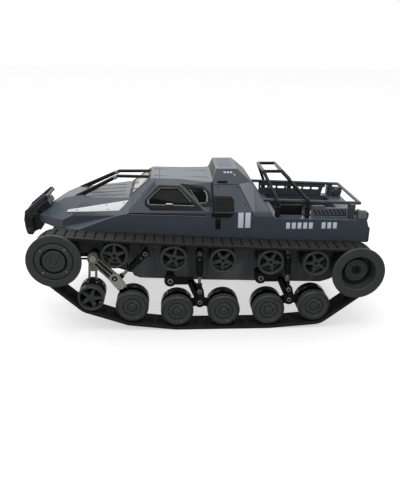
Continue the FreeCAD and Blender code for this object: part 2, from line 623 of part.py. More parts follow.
def tube_cage():
    """Two hood bars and the roll cage behind the cab."""
    pieces = []
    for side in SIDES.values():
        bar = [V(155, side * 22.8, 153.5), V(105, side * 14.5, 178.2), V(58, side * 16.8, 177.6)]
        pieces.append(tube_run(bar, CAGE_TUBE).cut(hull(0)))
    legs = []
    for side in SIDES.values():
        foot_y, top_y = side * 58, side * 24.7
        front = [V(-96.0, foot_y, 145), V(-95.8, foot_y, 155.6), V(-81.5, top_y, 186.4)]
        rear = [V(-133.6, foot_y, 145), V(-134, foot_y, 156.3), V(-104.7, top_y, 186.4)]
        for leg in (front, rear):
            legs.append(tube_run(leg, CAGE_TUBE))
            legs.append(Part.makeCylinder(3.1, 17, V(leg[0].x, foot_y, 131)))
            legs.append(Part.makeSphere(CAGE_TUBE, leg[2]))
        legs.append(tube_run([front[2], rear[2]], CAGE_TUBE))
    for x in (-81.5, -104.7):
        legs.append(tube_run([V(x, -24.7, 186.4), V(x, 24.7, 186.4)], CAGE_TUBE))
    return pieces + [joined(legs[0], legs[1:]).cut(hull(0))]


def cargo_rack():
    """Side rails, rear rail, brackets, the slotted panel on the right and two round lamps."""
    rail_y, rear_x, rear_z = 50.0, -202.4, 150.8
    tubes = []
    for side in SIDES.values():
        rail = [V(-76, side * rail_y, 155.7), V(rear_x, side * rail_y, rear_z)]
        tubes.append(tube_run(rail, CAGE_TUBE))
        tubes.append(box((-194.5, -187.8), sorted((side * 48.5, side * 59)), (131, 151)))
        tubes.append(Part.makeSphere(CAGE_TUBE, rail[1]))
    tubes.append(tube_run([V(rear_x, -rail_y, rear_z), V(rear_x, rail_y, rear_z)], CAGE_TUBE))
    panel = side_prism([(-88, 131), (-184, 131), (-184, 151), (-88, 154.8)], -50.6, -48.6)
    openings = [side_prism([(-178, 134), (-190, 134), (-190, 146), (-181, 146)], -51, -48)]
    for i in range(7):
        x = -92 - 12.4 * i
        z = 147.6 - 0.5 * i
        openings.append(strap((x, z), (x - 7, z - 0.3), 1.6, 1.6, -51, -48))
    x_range, y_range, floor = BED_WELL
    openings.append(box(x_range, (y_range[0], y_range[0] + TRAY_WALL), (floor, deck_height(x_range[0]))))
    rack = joined(tubes[0], tubes[1:] + [panel]).cut(Part.makeCompound(openings)).cut(hull(0))
    lamps = []
    for side in SIDES.values():
        face = side * 56
        lamps.append(disc((-201.5, 138.2), 4.6, *sorted((face, face - side * 7))).cut(hull(0)))
    return [rack] + lamps


def drive_unit():
    """Two motors with gearboxes, the battery and the control board."""
    solids = []
    for side in SIDES.values():
        gearbox = box((-198, -168), sorted((side * 30, side * 58)), (71.5, 91))
        bore = disc(DRIVE_WHEEL, PIVOT_RADIUS + RUNNING_FIT, -60, 60)
        solids.append(gearbox.cut(bore))
        solids.append(Part.makeCylinder(13.5, 50, V(-168, side * 40, 76), V(1, 0, 0)))
    solids.append(box((-60, 70), (-22, 22), (59.5, 85.5)))
    solids.append(box((-110, -66), (-25, 25), (54, 56)))
    solids.append(box((100, 170), (-30, 30), (89, 91)))
    return solids


# ---- write the nodes ----------------------------------------------------------------------
save_pair("track", [track_belt()])
save_pair("front_wheel", [front_wheel()])
save_pair("drive_wheel", [drive_wheel()])
save_pair("tension_wheel", tension_wheel())
for number, centre in enumerate(ROAD_WHEELS, 1):
    save_pair("road_wheel_%d" % number, road_wheel(centre))
for number, centre in enumerate(ROLLERS, 1):
    save_pair("return_roller_%d" % number, [return_roller(centre)])
save_pair("front_arm", [front_arm()])
save_pair("tension_arm", [tension_arm()])
for number in (1, 2):
    i = number - 1
    save_pair("bogie_arm_%d" % number, [bogie_arm(BOGIE_PIVOTS[i], BOGIE_EYES[i], BEAM_PIVOTS[i])])
    axles = ROAD_WHEELS[2 * number - 1], ROAD_WHEELS[2 * number]
    save_pair("bogie_beam_%d" % number, [bogie_beam(BEAM_PIVOTS[i], *axles)])
for number, (top, eye) in enumerate(zip(SHOCK_TOPS, SHOCK_EYES), 1):
    save_pair("shock_body_%d" % number, [shock_body(top, eye)])
    save_pair("shock_rod_%d" % number, [shock_rod(top, eye)])
save("chassis_tub", tub())
save("body_shell", body_shell())
save("cab_windows", cab_windows())
save("front_bumper", [front_bumper()])
save("tube_cage", tube_cage())
save("cargo_rack", cargo_rack())
save("drive_unit", drive_unit())
save("fixed_axles", fixed_axles())
print("belt length", round(PATH.length, 1), "pitch", round(PITCH, 2))
print("rollers", [(x, round(z, 1)) for x, z in ROLLERS])
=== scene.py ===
import json
import math
import bpy
import bmesh
from mathutils import Matrix, Vector


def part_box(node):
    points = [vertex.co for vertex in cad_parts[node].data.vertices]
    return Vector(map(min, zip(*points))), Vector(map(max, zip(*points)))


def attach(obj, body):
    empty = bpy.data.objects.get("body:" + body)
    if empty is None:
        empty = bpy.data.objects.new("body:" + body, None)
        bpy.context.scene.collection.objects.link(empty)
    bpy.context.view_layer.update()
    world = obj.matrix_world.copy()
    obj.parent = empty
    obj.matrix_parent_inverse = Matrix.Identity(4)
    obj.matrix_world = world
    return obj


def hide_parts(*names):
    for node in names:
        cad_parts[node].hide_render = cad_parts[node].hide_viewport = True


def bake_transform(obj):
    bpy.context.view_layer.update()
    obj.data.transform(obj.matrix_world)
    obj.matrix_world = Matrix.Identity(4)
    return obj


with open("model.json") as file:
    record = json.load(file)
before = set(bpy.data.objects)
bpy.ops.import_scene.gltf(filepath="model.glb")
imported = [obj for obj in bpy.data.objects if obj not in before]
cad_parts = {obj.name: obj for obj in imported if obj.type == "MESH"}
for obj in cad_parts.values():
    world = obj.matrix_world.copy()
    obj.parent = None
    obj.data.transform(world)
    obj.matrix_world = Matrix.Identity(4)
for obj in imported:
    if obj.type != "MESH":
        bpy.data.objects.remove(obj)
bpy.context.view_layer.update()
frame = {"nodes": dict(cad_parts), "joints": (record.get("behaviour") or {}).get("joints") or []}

# Lengths below are in millimetres: X forward, Y to the left, Z up, origin on the ground.
# Pieces that come in pairs are made for the left side and mirrored for the right one.
MM = 0.001
SIDES = {"left": 1, "right": -1}
ACROSS = Vector((0, 1, 0))
UP = Vector((0, 0, 1))
JOINTS = {joint["name"]: Vector(joint["pos_m"]) / MM for joint in frame["joints"] if "pos_m" in joint}


def axle(joint):
    """(x, z) of a left-hand joint."""
    place = JOINTS[joint]
    return (place.x, place.z)


def radius_of(node):
    """Half the height of a CAD node."""
    low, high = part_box(node)
    return ((high - low) / MM).z / 2


# ---- finishes ----
def linear(value):
    share = value / 255
    return share / 12.92 if share <= 0.04045 else ((share + 0.055) / 1.055) ** 2.4


def set_inputs(node, **values):
    """Set inputs of a shader node; an underscore stands for a space in an input's name."""
    for key, value in values.items():
        node.inputs[key.replace("_", " ")].default_value = value
    return node


def finish(name, colour, rough, metal=0.0, vary=0.15, grain=150.0, bump=0.0, bump_grain=900.0,
           glow=0.0, shine=0.5):
    """A procedural finish: a noisy base colour, an optional glow that is painted light, and, if asked for, a
    fine relief.
    """
    material = bpy.data.materials.new(name)
    material.use_nodes = True
    nodes, link = material.node_tree.nodes, material.node_tree.links.new
    base = [linear(part) for part in colour]
    shader = set_inputs(nodes["Principled BSDF"], Roughness=rough, Metallic=metal, Emission_Color=base + [1],
                        Emission_Strength=glow, Specular_IOR_Level=shine)
    coords = nodes.new("ShaderNodeTexCoord")
    noise = set_inputs(nodes.new("ShaderNodeTexNoise"), Scale=grain, Detail=5)
    ramp = nodes.new("ShaderNodeValToRGB")
    for element, place, gain in zip(ramp.color_ramp.elements, (0.32, 0.68), (1 - vary, 1 + vary)):
        element.position = place
        element.color = [min(1, part * gain) for part in base] + [1]
    link(coords.outputs["Object"], noise.inputs["Vector"])
    link(noise.outputs["Fac"], ramp.inputs["Fac"])
    link(ramp.outputs["Color"], shader.inputs["Base Color"])
    if bump:
        grit = set_inputs(nodes.new("ShaderNodeTexNoise"), Scale=bump_grain, Detail=3)
        relief = set_inputs(nodes.new("ShaderNodeBump"), Strength=bump, Distance=0.0002)
        link(coords.outputs["Object"], grit.inputs["Vector"])
        link(grit.outputs["Fac"], relief.inputs["Height"])
        link(relief.outputs["Normal"], shader.inputs["Normal"])
    return material


PAINT = finish("slate_paint", (82, 91, 101), 0.36, vary=0.06, grain=60, bump=0.08)
# A lighter copy of the slate paint: painted highlight on facets, strips and edges that catch the light.
PAINT_HIGHLIGHT = finish("slate_paint_painted_highlight", (130, 136, 141), 0.42, vary=0.05, grain=60, bump=0.08)
# A paler copy of the slate paint; on the low rear facet it is painted light.
PAINT_MID = finish("slate_paint_mid", (112, 120, 129), 0.42, vary=0.05, grain=60, bump=0.08)
BLACK = finish("black_satin", (20, 21, 22), 0.42, vary=0.15, bump=0.1, shine=0.35)
RACK = finish("rack_paint", (78, 84, 90), 0.4, vary=0.12, grain=200, bump=0.1, shine=0.4)
TUBE = finish("black_tube", (20, 21, 21), 0.3, vary=0.15, grain=300, bump=0.1, shine=0.4)
RUBBER = finish("track_rubber", (31, 30, 29), 0.68, vary=0.22, grain=120, bump=0.35,
                bump_grain=1500)
WHEEL = finish("wheel_plastic", (78, 81, 80), 0.45, vary=0.07, grain=80, bump=0.15)
WHEEL_BLACK = finish("wheel_black", (20, 21, 21), 0.22, vary=0.15, bump=0.05)
TUB = finish("tub_plastic", (116, 121, 123), 0.5, vary=0.1, grain=50, bump=0.15)
ALLOY = finish("worn_alloy", (178, 172, 160), 0.38, metal=0.35, vary=0.3, grain=260, bump=0.2)
ALLOY_PALE = finish("pale_alloy", (214, 211, 202), 0.45, metal=0.2, vary=0.1, grain=200,
                    bump=0.15)
STEEL = finish("steel", (205, 206, 204), 0.25, metal=1.0, vary=0.1, grain=400)
GLASS = finish("dark_glass", (14, 16, 18), 0.08, vary=0.2, grain=25, shine=0.15)
# Pale windscreen colour: a painted reflection of the bright studio.
WINDSCREEN_REFLECTION = finish("windscreen_painted_reflection", (214, 211, 206), 0.25, vary=0.04, grain=40)
BRIGHT = finish("bright_panel", (240, 243, 246), 0.3, vary=0.02, grain=60)
# Marking print; its glow of 0.25 is painted light.
MARKING_WITH_GLOW = finish("marking", (206, 216, 228), 0.5, vary=0.03, grain=60, glow=0.25)
LIME = finish("lime_mark", (176, 196, 60), 0.5, vary=0.05, grain=60)
SILVER = finish("silver_trim", (170, 172, 170), 0.3, metal=0.4, vary=0.1, grain=300)
GUARD = finish("guard_plastic", (38, 40, 41), 0.38, vary=0.12, grain=120, bump=0.1)
# Near-black for gaps, lines and slots, and for the painted shade on the bed floor.
DARK_GAPS_AND_SHADE = finish("dark_gaps_and_painted_shade", (12, 13, 14), 0.7, vary=0.2)
DRIVE = finish("drive_housings", (40, 42, 46), 0.5, vary=0.15, bump=0.2)


# ---- shapes ----
def square(x1, x2, y1, y2):
    return [(x1, y1), (x2, y1), (x2, y2), (x1, y2)]


def rounded(points, radius):
    """A line of points with its inner corners rounded."""
    points = [Vector(point) for point in points]
    smooth = [points[0]]
    for before, here, after in zip(points, points[1:], points[2:]):
        back, ahead = (before - here), (after - here)
        reach = min(radius, back.length * 0.45, ahead.length * 0.45)
        start, end = here + back.normalized() * reach, here + ahead.normalized() * reach
        for t in (0, 0.25, 0.5, 0.75, 1):
            smooth.append(start.lerp(here, t).lerp(here.lerp(end, t), t))
    return smooth + [points[-1]]


class Shape:
    """Solids gathered into one piece."""

    def __init__(self):
        self.points = []
        self.faces = []

    def take(self, mesh, bevel=0.0, sharp=25):
        """Round the sharp edges of a closed mesh, then add it."""
        bmesh.ops.recalc_face_normals(mesh, faces=mesh.faces)
        if bevel:
            edges = [e for e in mesh.edges if e.is_manifold and e.calc_face_angle(0) > math.radians(sharp)]
            bmesh.ops.bevel(mesh, geom=edges, offset=bevel, segments=2, profile=0.6,
                            affect="EDGES", clamp_overlap=True)
        mesh.verts.index_update()
        base = len(self.points)
        self.points += [vert.co.copy() for vert in mesh.verts]
        self.faces += [[base + vert.index for vert in face.verts] for face in mesh.faces]
        mesh.free()
        return self

    def layers(self, rings, bevel=0.0, sharp=25):
        """A closed solid through rings of equal length."""
        mesh = bmesh.new()
        rows = [[mesh.verts.new(point) for point in ring] for ring in rings]
        mesh.faces.new(rows[0])
        mesh.faces.new(rows[-1][::-1])
        for low, high in zip(rows, rows[1:]):
            for i in range(len(low)):
                mesh.faces.new((low[i - 1], low[i], high[i], high[i - 1]))
        return self.take(mesh, bevel, sharp)

    def prism(self, outline, low, high, bevel):
        """An (x, z) outline pushed across the vehicle, from y = low to y = high."""
        return self.layers([[(x, y, z) for x, z in outline] for y in (low, high)], bevel)

    def box(self, xs, ys, zs, bevel):
        return self.prism(square(*xs, *zs), *ys, bevel)

    def turn(self, origin, axis, profile, steps=48):
        """A closed (radius, height) profile turned about an axis through the origin."""
        origin, axis = Vector(origin), Vector(axis).normalized()
        first = axis.orthogonal().normalized()
        second = axis.cross(first)
        base, count = len(self.points), len(profile)
        for k in range(steps):
            angle = 2 * math.pi * k / steps
            out = first * math.cos(angle) + second * math.sin(angle)
            self.points += [origin + out * radius + axis * height for radius, height in profile]
        for k in range(steps):
            row, after = base + k * count, base + (k + 1) % steps * count
            for i in range(count):
                j = (i + 1) % count
                self.faces.append([row + i, row + j, after + j, after + i])
        return self

    def pin(self, origin, radius, length, chamfer=0.3, steps=32, axis=ACROSS):
        """A chamfered cylinder that starts at the origin."""
        outline = [(0, 0), (radius, 0), (radius, length - chamfer), (radius - chamfer, length), (0, length)]
        return self.turn(origin, axis, outline, steps)

    def screw(self, origin, radius, height, axis=ACROSS):
        """A screw head with a deep round socket."""
        outline = [(0, 0), (1, 0), (1, 0.7), (0.85, 1), (0.5, 1), (0.45, 0.2), (0, 0.2)]
        return self.turn(origin, axis, [(radius * r, height * h) for r, h in outline], 20)

    def tube(self, points, radius, bend=5.0, steps=14):
        """A round tube along a line of points, with rounded bends and flat ends."""
        line = rounded(points, bend)
        up = (line[1] - line[0]).orthogonal().normalized()
        rings = []
        for i, here in enumerate(line):
            ahead = (line[min(i + 1, len(line) - 1)] - line[max(i - 1, 0)]).normalized()
            up = (up - ahead * up.dot(ahead)).normalized()
            side = ahead.cross(up)
            turns = [2 * math.pi * k / steps for k in range(steps)]
            rings.append([here + (up * math.cos(a) + side * math.sin(a)) * radius for a in turns])
        return self.layers(rings)

    def strap(self, start, end, r1, r2, low, high, bevel=0.4, steps=14):
        """A flat link in side view with two round ends."""
        angle = math.atan2(end[1] - start[1], end[0] - start[0])
        lean = math.acos(max(-1, min(1, (r1 - r2) / math.dist(start, end))))
        outline = []
        for centre, radius, first, sweep in ((start, r1, angle + lean, 2 * math.pi - 2 * lean),
                                             (end, r2, angle - lean, 2 * lean)):
            for k in range(steps + 1):
                turn = first + sweep * k / steps
                outline.append((centre[0] + radius * math.cos(turn), centre[1] + radius * math.sin(turn)))
        return self.prism(outline, low, high, bevel)

    def plate(self, corners, facing, thick, raised, grow, bevel):
        """A flat plate behind a planar outline that may be grown on all sides."""
        normal = Vector((0, 0, 0))
        for a, b in zip(corners, corners[1:] + corners[:1]):
            normal += a.cross(b)
        normal.normalize()
        if normal.dot(facing) < 0:
            normal = -normal
            corners = corners[::-1]
        ring = []
        for before, here, after in zip(corners[-1:] + corners, corners, corners[1:] + corners[:1]):
            n1 = (here - before).cross(normal).normalized()
            n2 = (after - here).cross(normal).normalized()
            ring.append(here + (n1 + n2) * (grow / (1 + n1.dot(n2))) + normal * raised)
        return self.layers([ring, [point - normal * thick for point in ring]], bevel, 20)


def put(name, shape, material, body="root", side=1, node=None):
    """Make one piece. body is a CAD body, or None for a piece that stays unattached."""
    if name in frame["nodes"]:
        name += "_detail"
    mesh = bpy.data.meshes.new(name)
    points = [(p[0] * MM, p[1] * side * MM, p[2] * MM) for p in shape.points]
    mesh.from_pydata(points, [], shape.faces)
    work = bmesh.new()
    work.from_mesh(mesh)
    bmesh.ops.remove_doubles(work, verts=work.verts, dist=1e-7)
    bmesh.ops.dissolve_degenerate(work, edges=work.edges, dist=1e-7)
    bmesh.ops.recalc_face_normals(work, faces=work.faces)
    work.to_mesh(mesh)
    work.free()
    mesh.materials.append(material)
    mesh.shade_smooth()
    mesh.set_sharp_from_angle(angle=math.radians(30))
    piece = bpy.data.objects.new(name, mesh)
    bpy.context.scene.collection.objects.link(piece)
    if body:
        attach(piece, body)
    if node:
        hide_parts(node)
    return piece


def pair(name, shape, material, body="root", node=""):
    """The same piece on both sides. A * in a body's or node's name becomes left or right."""
    for side_name, side in SIDES.items():
        put(name + "_" + side_name, shape, material, body.replace("*", side_name), side,
            node.replace("*", side_name))


# ---- belt ----
BIG_RADIUS = 26.7        # where the belt lies on the front wheel and on the drive wheel
FLANGE = radius_of("front_wheel_left")
TENSION = radius_of("tension_wheel_left")
ROAD = radius_of("road_wheel_1_left")
ROLLER = radius_of("return_roller_1_left")
BELT_IN, BELT_MIDDLE, BELT_OUT = 67.0, 83.0, 99.0
BELT_GAP = 0.3           # between a wheel and the inside of the belt
LUG_TOP, GROOVE_FLOOR = 3.4, 1.0
LUGS = 80
GROOVE = 0.15            # share of a link that the groove takes
TOP_SLOPES = (1.5, 4.6)  # of the sagging upper run at its two ends, in degrees
TOOTH = [(-0.28, 0.4), (-0.17, -3.1), (-0.12, -3.5), (0.12, -3.5), (0.17, -3.1), (0.28, 0.4)]
TOOTH_WIDTH = (80.6, 85.4)

FRONT = axle("front_wheel_left_spin")
REAR = axle("drive_wheel_left_spin")
TIGHT = axle("tension_wheel_left_spin")
ROADS = [axle("road_wheel_%d_left_spin" % n) for n in range(1, 6)]
ROLLERS = [axle("return_roller_%d_left_spin" % n) for n in range(1, 6)]


def on_circle(centre, radius, degrees):
    angle = math.radians(degrees)
    return (centre[0] + radius * math.cos(angle), centre[1] + radius * math.sin(angle))


class Belt:
    """The inside line of the belt, from the front wheel downwards and round."""

    def __init__(self):
        wheels = [(FRONT, BIG_RADIUS), (TIGHT, TENSION)] + [(c, ROAD) for c in ROADS]
        wheels = [(centre, radius + BELT_GAP) for centre, radius in wheels + [(REAR, BIG_RADIUS)]]
        leave = []
        for (c1, r1), (c2, r2) in zip(wheels, wheels[1:]):
            heading = math.atan2(c2[1] - c1[1], c2[0] - c1[0])
            leave.append(math.degrees(heading + math.acos((r1 - r2) / math.dist(c1, c2))))
        meet = [90 + TOP_SLOPES[1]] + leave
        leave = leave + [90 + TOP_SLOPES[0]]
        self.pieces, self.meets, self.leaves, self.length = [], [], [], 0.0
        for i, (centre, radius) in enumerate(wheels):
            sweep = (meet[i] - leave[i] + 90) % 360 - 90
            self.meets.append(self.length)
            if sweep > 0.01:
                self.add(("arc", centre, radius, meet[i], -sweep), radius * math.radians(sweep))
            self.leaves.append(self.length)
            if i + 1 < len(wheels):
                start = on_circle(centre, radius, leave[i])
                end = on_circle(*wheels[i + 1], leave[i])
                self.add(("line", start, end), math.dist(start, end))
        start = on_circle(*wheels[-1], leave[-1])
        end = on_circle(*wheels[0], meet[0])
        turn = TOP_SLOPES[1] - TOP_SLOPES[0]
        radius = math.dist(start, end) / 2 / math.sin(math.radians(turn / 2))
        facing = math.degrees(math.atan2(end[1] - start[1], end[0] - start[0])) - turn / 2 + 90
        self.add(("arc", on_circle(start, radius, facing), radius, facing - 180, turn),
                 radius * math.radians(turn))

    def add(self, piece, length):
        self.pieces.append((piece, length))
        self.length += length

    def point(self, distance, outward):
        distance = distance % self.length
        for piece, length in self.pieces:
            if distance <= length:
                break
            distance -= length
        share = distance / length
        if piece[0] == "line":
            (x1, z1), (x2, z2) = piece[1], piece[2]
            return (x1 + (x2 - x1) * share - outward * (z2 - z1) / length,
                    z1 + (z2 - z1) * share + outward * (x2 - x1) / length)
        _, centre, radius, start, sweep = piece
        grown = radius + outward if sweep < 0 else radius - outward
        return on_circle(centre, grown, start + sweep * share)


BELT = Belt()
PITCH = BELT.length / LUGS


def belt_section(tread):
    """Outline of the belt across, as (y, outward); tread is the height between the rim bands."""
    return [(BELT_IN + 0.4, 0), (BELT_IN, 0.5), (BELT_IN, 2.9), (BELT_IN + 0.5, LUG_TOP),
            (70.4, LUG_TOP), (70.7, tread), (75.6, tread), (76.0, tread - 0.5), (76.5, tread - 0.5),
            (76.9, tread), (89.0, tread), (89.4, tread - 0.5), (89.9, tread - 0.5), (90.3, tread),
            (95.4, tread), (95.7, LUG_TOP), (98.4, LUG_TOP), (BELT_OUT, 2.8), (BELT_OUT, 0.5),
            (BELT_OUT - 0.4, 0)]


def belt_cut(mark):
    """The distance to the middle of a lug, which is where a stretch of the belt may end."""
    return (mark + 0.5 + GROOVE / 2) * PITCH


def belt_mark(distance):
    """The number of the lug that is nearest to a distance."""
    return round(distance / PITCH - 0.5 - GROOVE / 2)


def belt_rows(first, last):
    """Distances and tread heights from the middle of one lug to the middle of another."""
    groove = GROOVE * PITCH
    rows = [(belt_cut(first), LUG_TOP)]
    for i in range(first + 1, last + 1):
        start = i * PITCH
        rows += [(start - 0.22 * PITCH, LUG_TOP), (start - 0.2, LUG_TOP), (start + 0.1, GROOVE_FLOOR),
                 (start + groove - 0.1, GROOVE_FLOOR), (start + groove + 0.2, LUG_TOP),
                 (start + 0.33 * PITCH, LUG_TOP), (belt_cut(i), LUG_TOP)]
    return rows


def belt_piece(first, last):
    """A stretch of belt, with a guide tooth inside every link."""
    rings = []
    for distance, tread in belt_rows(first, last):
        ring = []
        for y, out in belt_section(tread):
            x, z = BELT.point(distance, out)
            ring.append((x, y, z))
        rings.append(ring)
    shape = Shape().layers(rings)
    for i in range(first + 1, last + 1):
        middle = (i + 0.5) * PITCH
        outline = [BELT.point(middle + share * PITCH, out) for share, out in TOOTH]
        shape.prism(outline, *TOOTH_WIDTH, 0.35)
    return shape


def bending(start, end, bodies):
    """Stretches of equal length, each given with a body and the body that follows it."""
    count = len(bodies) - 1
    marks = [start + (end - start) * k / count for k in range(count + 1)]
    return list(zip(marks, marks[1:], bodies, bodies[1:]))


# Wheel 0 is the front wheel, 1 the tension wheel, 2 to 6 the road wheels and 7 the drive wheel.
# The belt stays with a wheel for a little longer than it touches it. Behind road wheels 1 and 3
# there is less room, because several bodies follow one another before the next wheel.
GRIP, REAR_GRIP, SHORT_GRIP = 0.9 * PITCH, 1.7 * PITCH, 0.2 * PITCH
meets = [distance - GRIP for distance in BELT.meets]
leaves = [distance + GRIP for distance in BELT.leaves]
for wheel in (2, 4):
    leaves[wheel] = BELT.leaves[wheel] + SHORT_GRIP
meets[7] = BELT.meets[7] - REAR_GRIP
runs = [(meets[7] - BELT.length, leaves[0], "root", None)]
runs += bending(leaves[0], meets[1], ["root", "tension_arm_*"])
runs.append((meets[1], leaves[1], "tension_arm_*", None))
runs += bending(leaves[1], meets[2], ["tension_arm_*", "root", "front_arm_*"])
runs.append((meets[2], leaves[2], "front_arm_*", None))
runs.append((leaves[2], leaves[2] + 2 * PITCH, "front_arm_*", "root"))
runs += bending(leaves[2] + 2 * PITCH, meets[3], ["root", "bogie_arm_1_*", "bogie_beam_1_*"])
runs.append((meets[3], leaves[4], "bogie_beam_1_*", None))
runs += bending(leaves[4], meets[5],
                ["bogie_beam_1_*", "bogie_arm_1_*", "root", "bogie_arm_2_*", "bogie_beam_2_*"])
runs.append((meets[5], leaves[6], "bogie_beam_2_*", None))
runs += bending(leaves[6], meets[7], ["bogie_beam_2_*", "bogie_arm_2_*", "root"])

for number, (start, end, body, other) in enumerate(runs, 1):
    marks = belt_mark(start), belt_mark(end)
    shape = belt_piece(*marks)
    for side_name, side in SIDES.items():
        names = [body.replace("*", side_name), (other or "").replace("*", side_name)]
        piece = put("track_%02d_%s" % (number, side_name), shape, RUBBER, None if other else names[0],
                    side, node="track_" + side_name)
        if other:
            for mark in marks:
                x, z = BELT.point(belt_cut(mark), 0)
            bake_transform(piece)


# ---- wheels ----
def at(centre, y):
    return (centre[0], y, centre[1])


def face(name, centre, profile, material, body, steps=64, node=""):
    """A (radius, y) profile turned about a wheel's axle."""
    pair(name, Shape().turn(at(centre, 0), ACROSS, profile, steps), material, body, node=node)


BIG_DRUM = [(8, 67), (26.4, 67), (BIG_RADIUS, 67.4), (BIG_RADIUS, 79.5), (22.7, 79.5), (22.7, 86.5),
            (BIG_RADIUS, 86.5), (BIG_RADIUS, 99.3), (32.3, 99.3), (FLANGE, 99.9), (FLANGE, 101.7),
            (32.2, 102.4), (29, 102.5)]
face("front_wheel", FRONT, BIG_DRUM + [
    (24.4, 102.3), (23.8, 101.9), (23.6, 99.8), (22.4, 99.8),
    (22.2, 101.9), (21.7, 102.2), (16.8, 102.4), (16.3, 102), (16.0, 94), (13.9, 94),
    (13.6, 101.4), (13.0, 101.9), (9.8, 102), (9.5, 101.4), (8.3, 101.4), (8, 101.9), (5.6, 102),
    (5.2, 101.4), (4.2, 101.2), (4.1, 98.2), (4.05, 67)], WHEEL, "front_wheel_*", node="front_wheel_*")
cap = Shape().pin(at(FRONT, 98), 3.9, 3.8, 0.5)
for k in range(6):
    cap.strap(on_circle(FRONT, 10.3, 60 * k + 15), on_circle(FRONT, 12.4, 60 * k + 15), 0.8, 0.8,
              101.4, 102.3, 0.2, 6)
pair("front_wheel_cap", cap, WHEEL, "front_wheel_*")
screws = Shape()
for angle in (43, 133, 223, 313):
    screws.screw(at(on_circle(FRONT, 19.8, angle), 101.9), 1.1, 0.6)
pair("front_wheel_screws", screws, STEEL, "front_wheel_*")

face("drive_wheel", REAR, BIG_DRUM + [
    (22.3, 102.4), (21.6, 101.8), (20.9, 94), (20.4, 93.4), (19.6, 82),
    (15.2, 81.5), (14.7, 82), (14.4, 91.2), (13.8, 91.8), (11.3, 91.8), (11, 91.2), (10.4, 91.2),
    (10.1, 91.8), (7.4, 91.9), (7.1, 91.3), (6.3, 91.3), (6, 90.5), (3.6, 90.3), (3.4, 86),
    (0, 86), (0, 42), (3, 42), (3, 67)], WHEEL, "drive_wheel_*", node="drive_wheel_*")
hub = Shape()
for k in range(6):
    angle = 60 * k
    hub.prism([on_circle(REAR, 3.3, angle), on_circle(REAR, 5.9, angle + 6),
               on_circle(REAR, 5.9, angle + 54), on_circle(REAR, 3.3, angle + 60)], 89.6, 91.0, 0.3)
pair("drive_wheel_hub", hub, WHEEL_BLACK, "drive_wheel_*")

for number, centre in enumerate(ROADS, 1):
    name = "road_wheel_%d" % number
    body = name + "_*"
    face(name, centre, [
        (2.5, 87.5), (20.2, 87.5), (ROAD, 87.9), (ROAD, 93.6), (20.1, 94.5), (19.4, 94.9),
        (18.9, 95.7), (18.4, 96.3), (18.2, 95.4), (17.2, 95.4), (16.9, 96.5), (12.4, 96.2),
        (11.9, 95.8), (11.7, 94.4), (10.5, 94.4), (10.3, 95.8), (9.8, 96.2), (6.9, 96.4),
        (6.5, 96), (6.3, 94.8), (5.4, 94.8), (5, 96), (4.4, 96.6), (2.5, 96.8)], WHEEL, body, node=body)
    face(name + "_back", centre, [
        (2.5, 67), (19.9, 67), (ROAD, 67.7), (ROAD, 77.8), (19.9, 78.5), (17.5, 78.5), (17, 77.9),
        (8, 77.9), (7.5, 78.5), (2.5, 78.5)], WHEEL_BLACK, body)
    bolt = Shape().pin(at(centre, 67.1), 2.5, 29.2, 0.2, 24)
    bolt.screw(at(centre, 96.2), 2.4, 0.9)
    pair(name + "_bolt", bolt, WHEEL, body)
    ribs = Shape()
    for k in range(3):
        angle = 120 * k + 40
        outline = [on_circle(centre, 6.9, angle + 8 * n) for n in range(7)]
        outline += [on_circle(centre, 9.4, angle + 48 - 8 * n) for n in range(7)]
        ribs.prism(outline, 96, 96.9, 0.2)
    pair(name + "_ribs", ribs, WHEEL, body)
    screws = Shape()
    for angle, reach in ((130, 6.8), (250, 15.2)):
        screws.screw(at(on_circle(centre, reach, angle), 96), 0.8, 0.6)
    pair(name + "_screws", screws, STEEL, body)


def spokes(shape, centre, inner, outer, low, high, turn):
    """Five tapered spokes with a raised rib."""
    for k in range(5):
        angle = math.radians(90 + turn + 72 * k)
        along, across = (math.cos(angle), math.sin(angle)), (-math.sin(angle), math.cos(angle))
        for wide_in, wide_out, top in ((2.3, 1.2, high - 0.8), (1.0, 0.6, high)):
            corners = ((inner, -wide_in), (outer, -wide_out), (outer, wide_out), (inner, wide_in))
            outline = [(centre[0] + along[0] * r + across[0] * w, centre[1] + along[1] * r + across[1] * w)
                       for r, w in corners]
            shape.prism(outline, low, top, 0.25)


def spoked_wheel(name, centre, radius, top, body, turn, bore):
    shape = Shape().turn(at(centre, 0), ACROSS, [
        (radius - 2.7, 87.9), (radius - 2.3, 87.5), (radius - 0.4, 87.5), (radius, 87.9),
        (radius, top - 1), (radius - 0.6, top - 0.2), (radius - 1.2, top), (radius - 2.2, top),
        (radius - 2.8, top - 0.5), (radius - 3, top - 1.2)], 56)
    shape.turn(at(centre, 0), ACROSS, [
        (bore, 87.5), (4.6, 87.5), (4.6, top - 1.6), (4.2, top - 1.1), (2.9, top - 1),
        (2.7, top - 1.5), (bore, top - 1.6)], 32)
    spokes(shape, centre, 4, radius - 2.6, 88, top - 1.2, turn)
    pair(name, shape, WHEEL, body, node=body)
    back = [(bore, 67), (radius - 0.6, 67), (radius, 67.6), (radius, 77.9), (radius - 0.6, 78.5),
            (radius - 3, 78.5), (radius - 3.4, 78), (5, 78), (4.6, 78.5), (4.5, 87.6), (bore, 87.6)]
    face(name + "_back", centre, back, WHEEL_BLACK, body)


for number, centre in enumerate(ROLLERS, 1):
    name = "return_roller_%d" % number
    spoked_wheel(name, centre, ROLLER, 98.5, name + "_*", (0, 12, 40, 24, 52)[number - 1], 2.05)
spoked_wheel("tension_wheel", TIGHT, TENSION, 98, "tension_wheel_*", 20, 2.5)
bolt = Shape().pin(at(TIGHT, 67.1), 2.5, 29.8, 0.2, 24)
pair("tension_wheel_bolt", bolt, WHEEL, "tension_wheel_*")


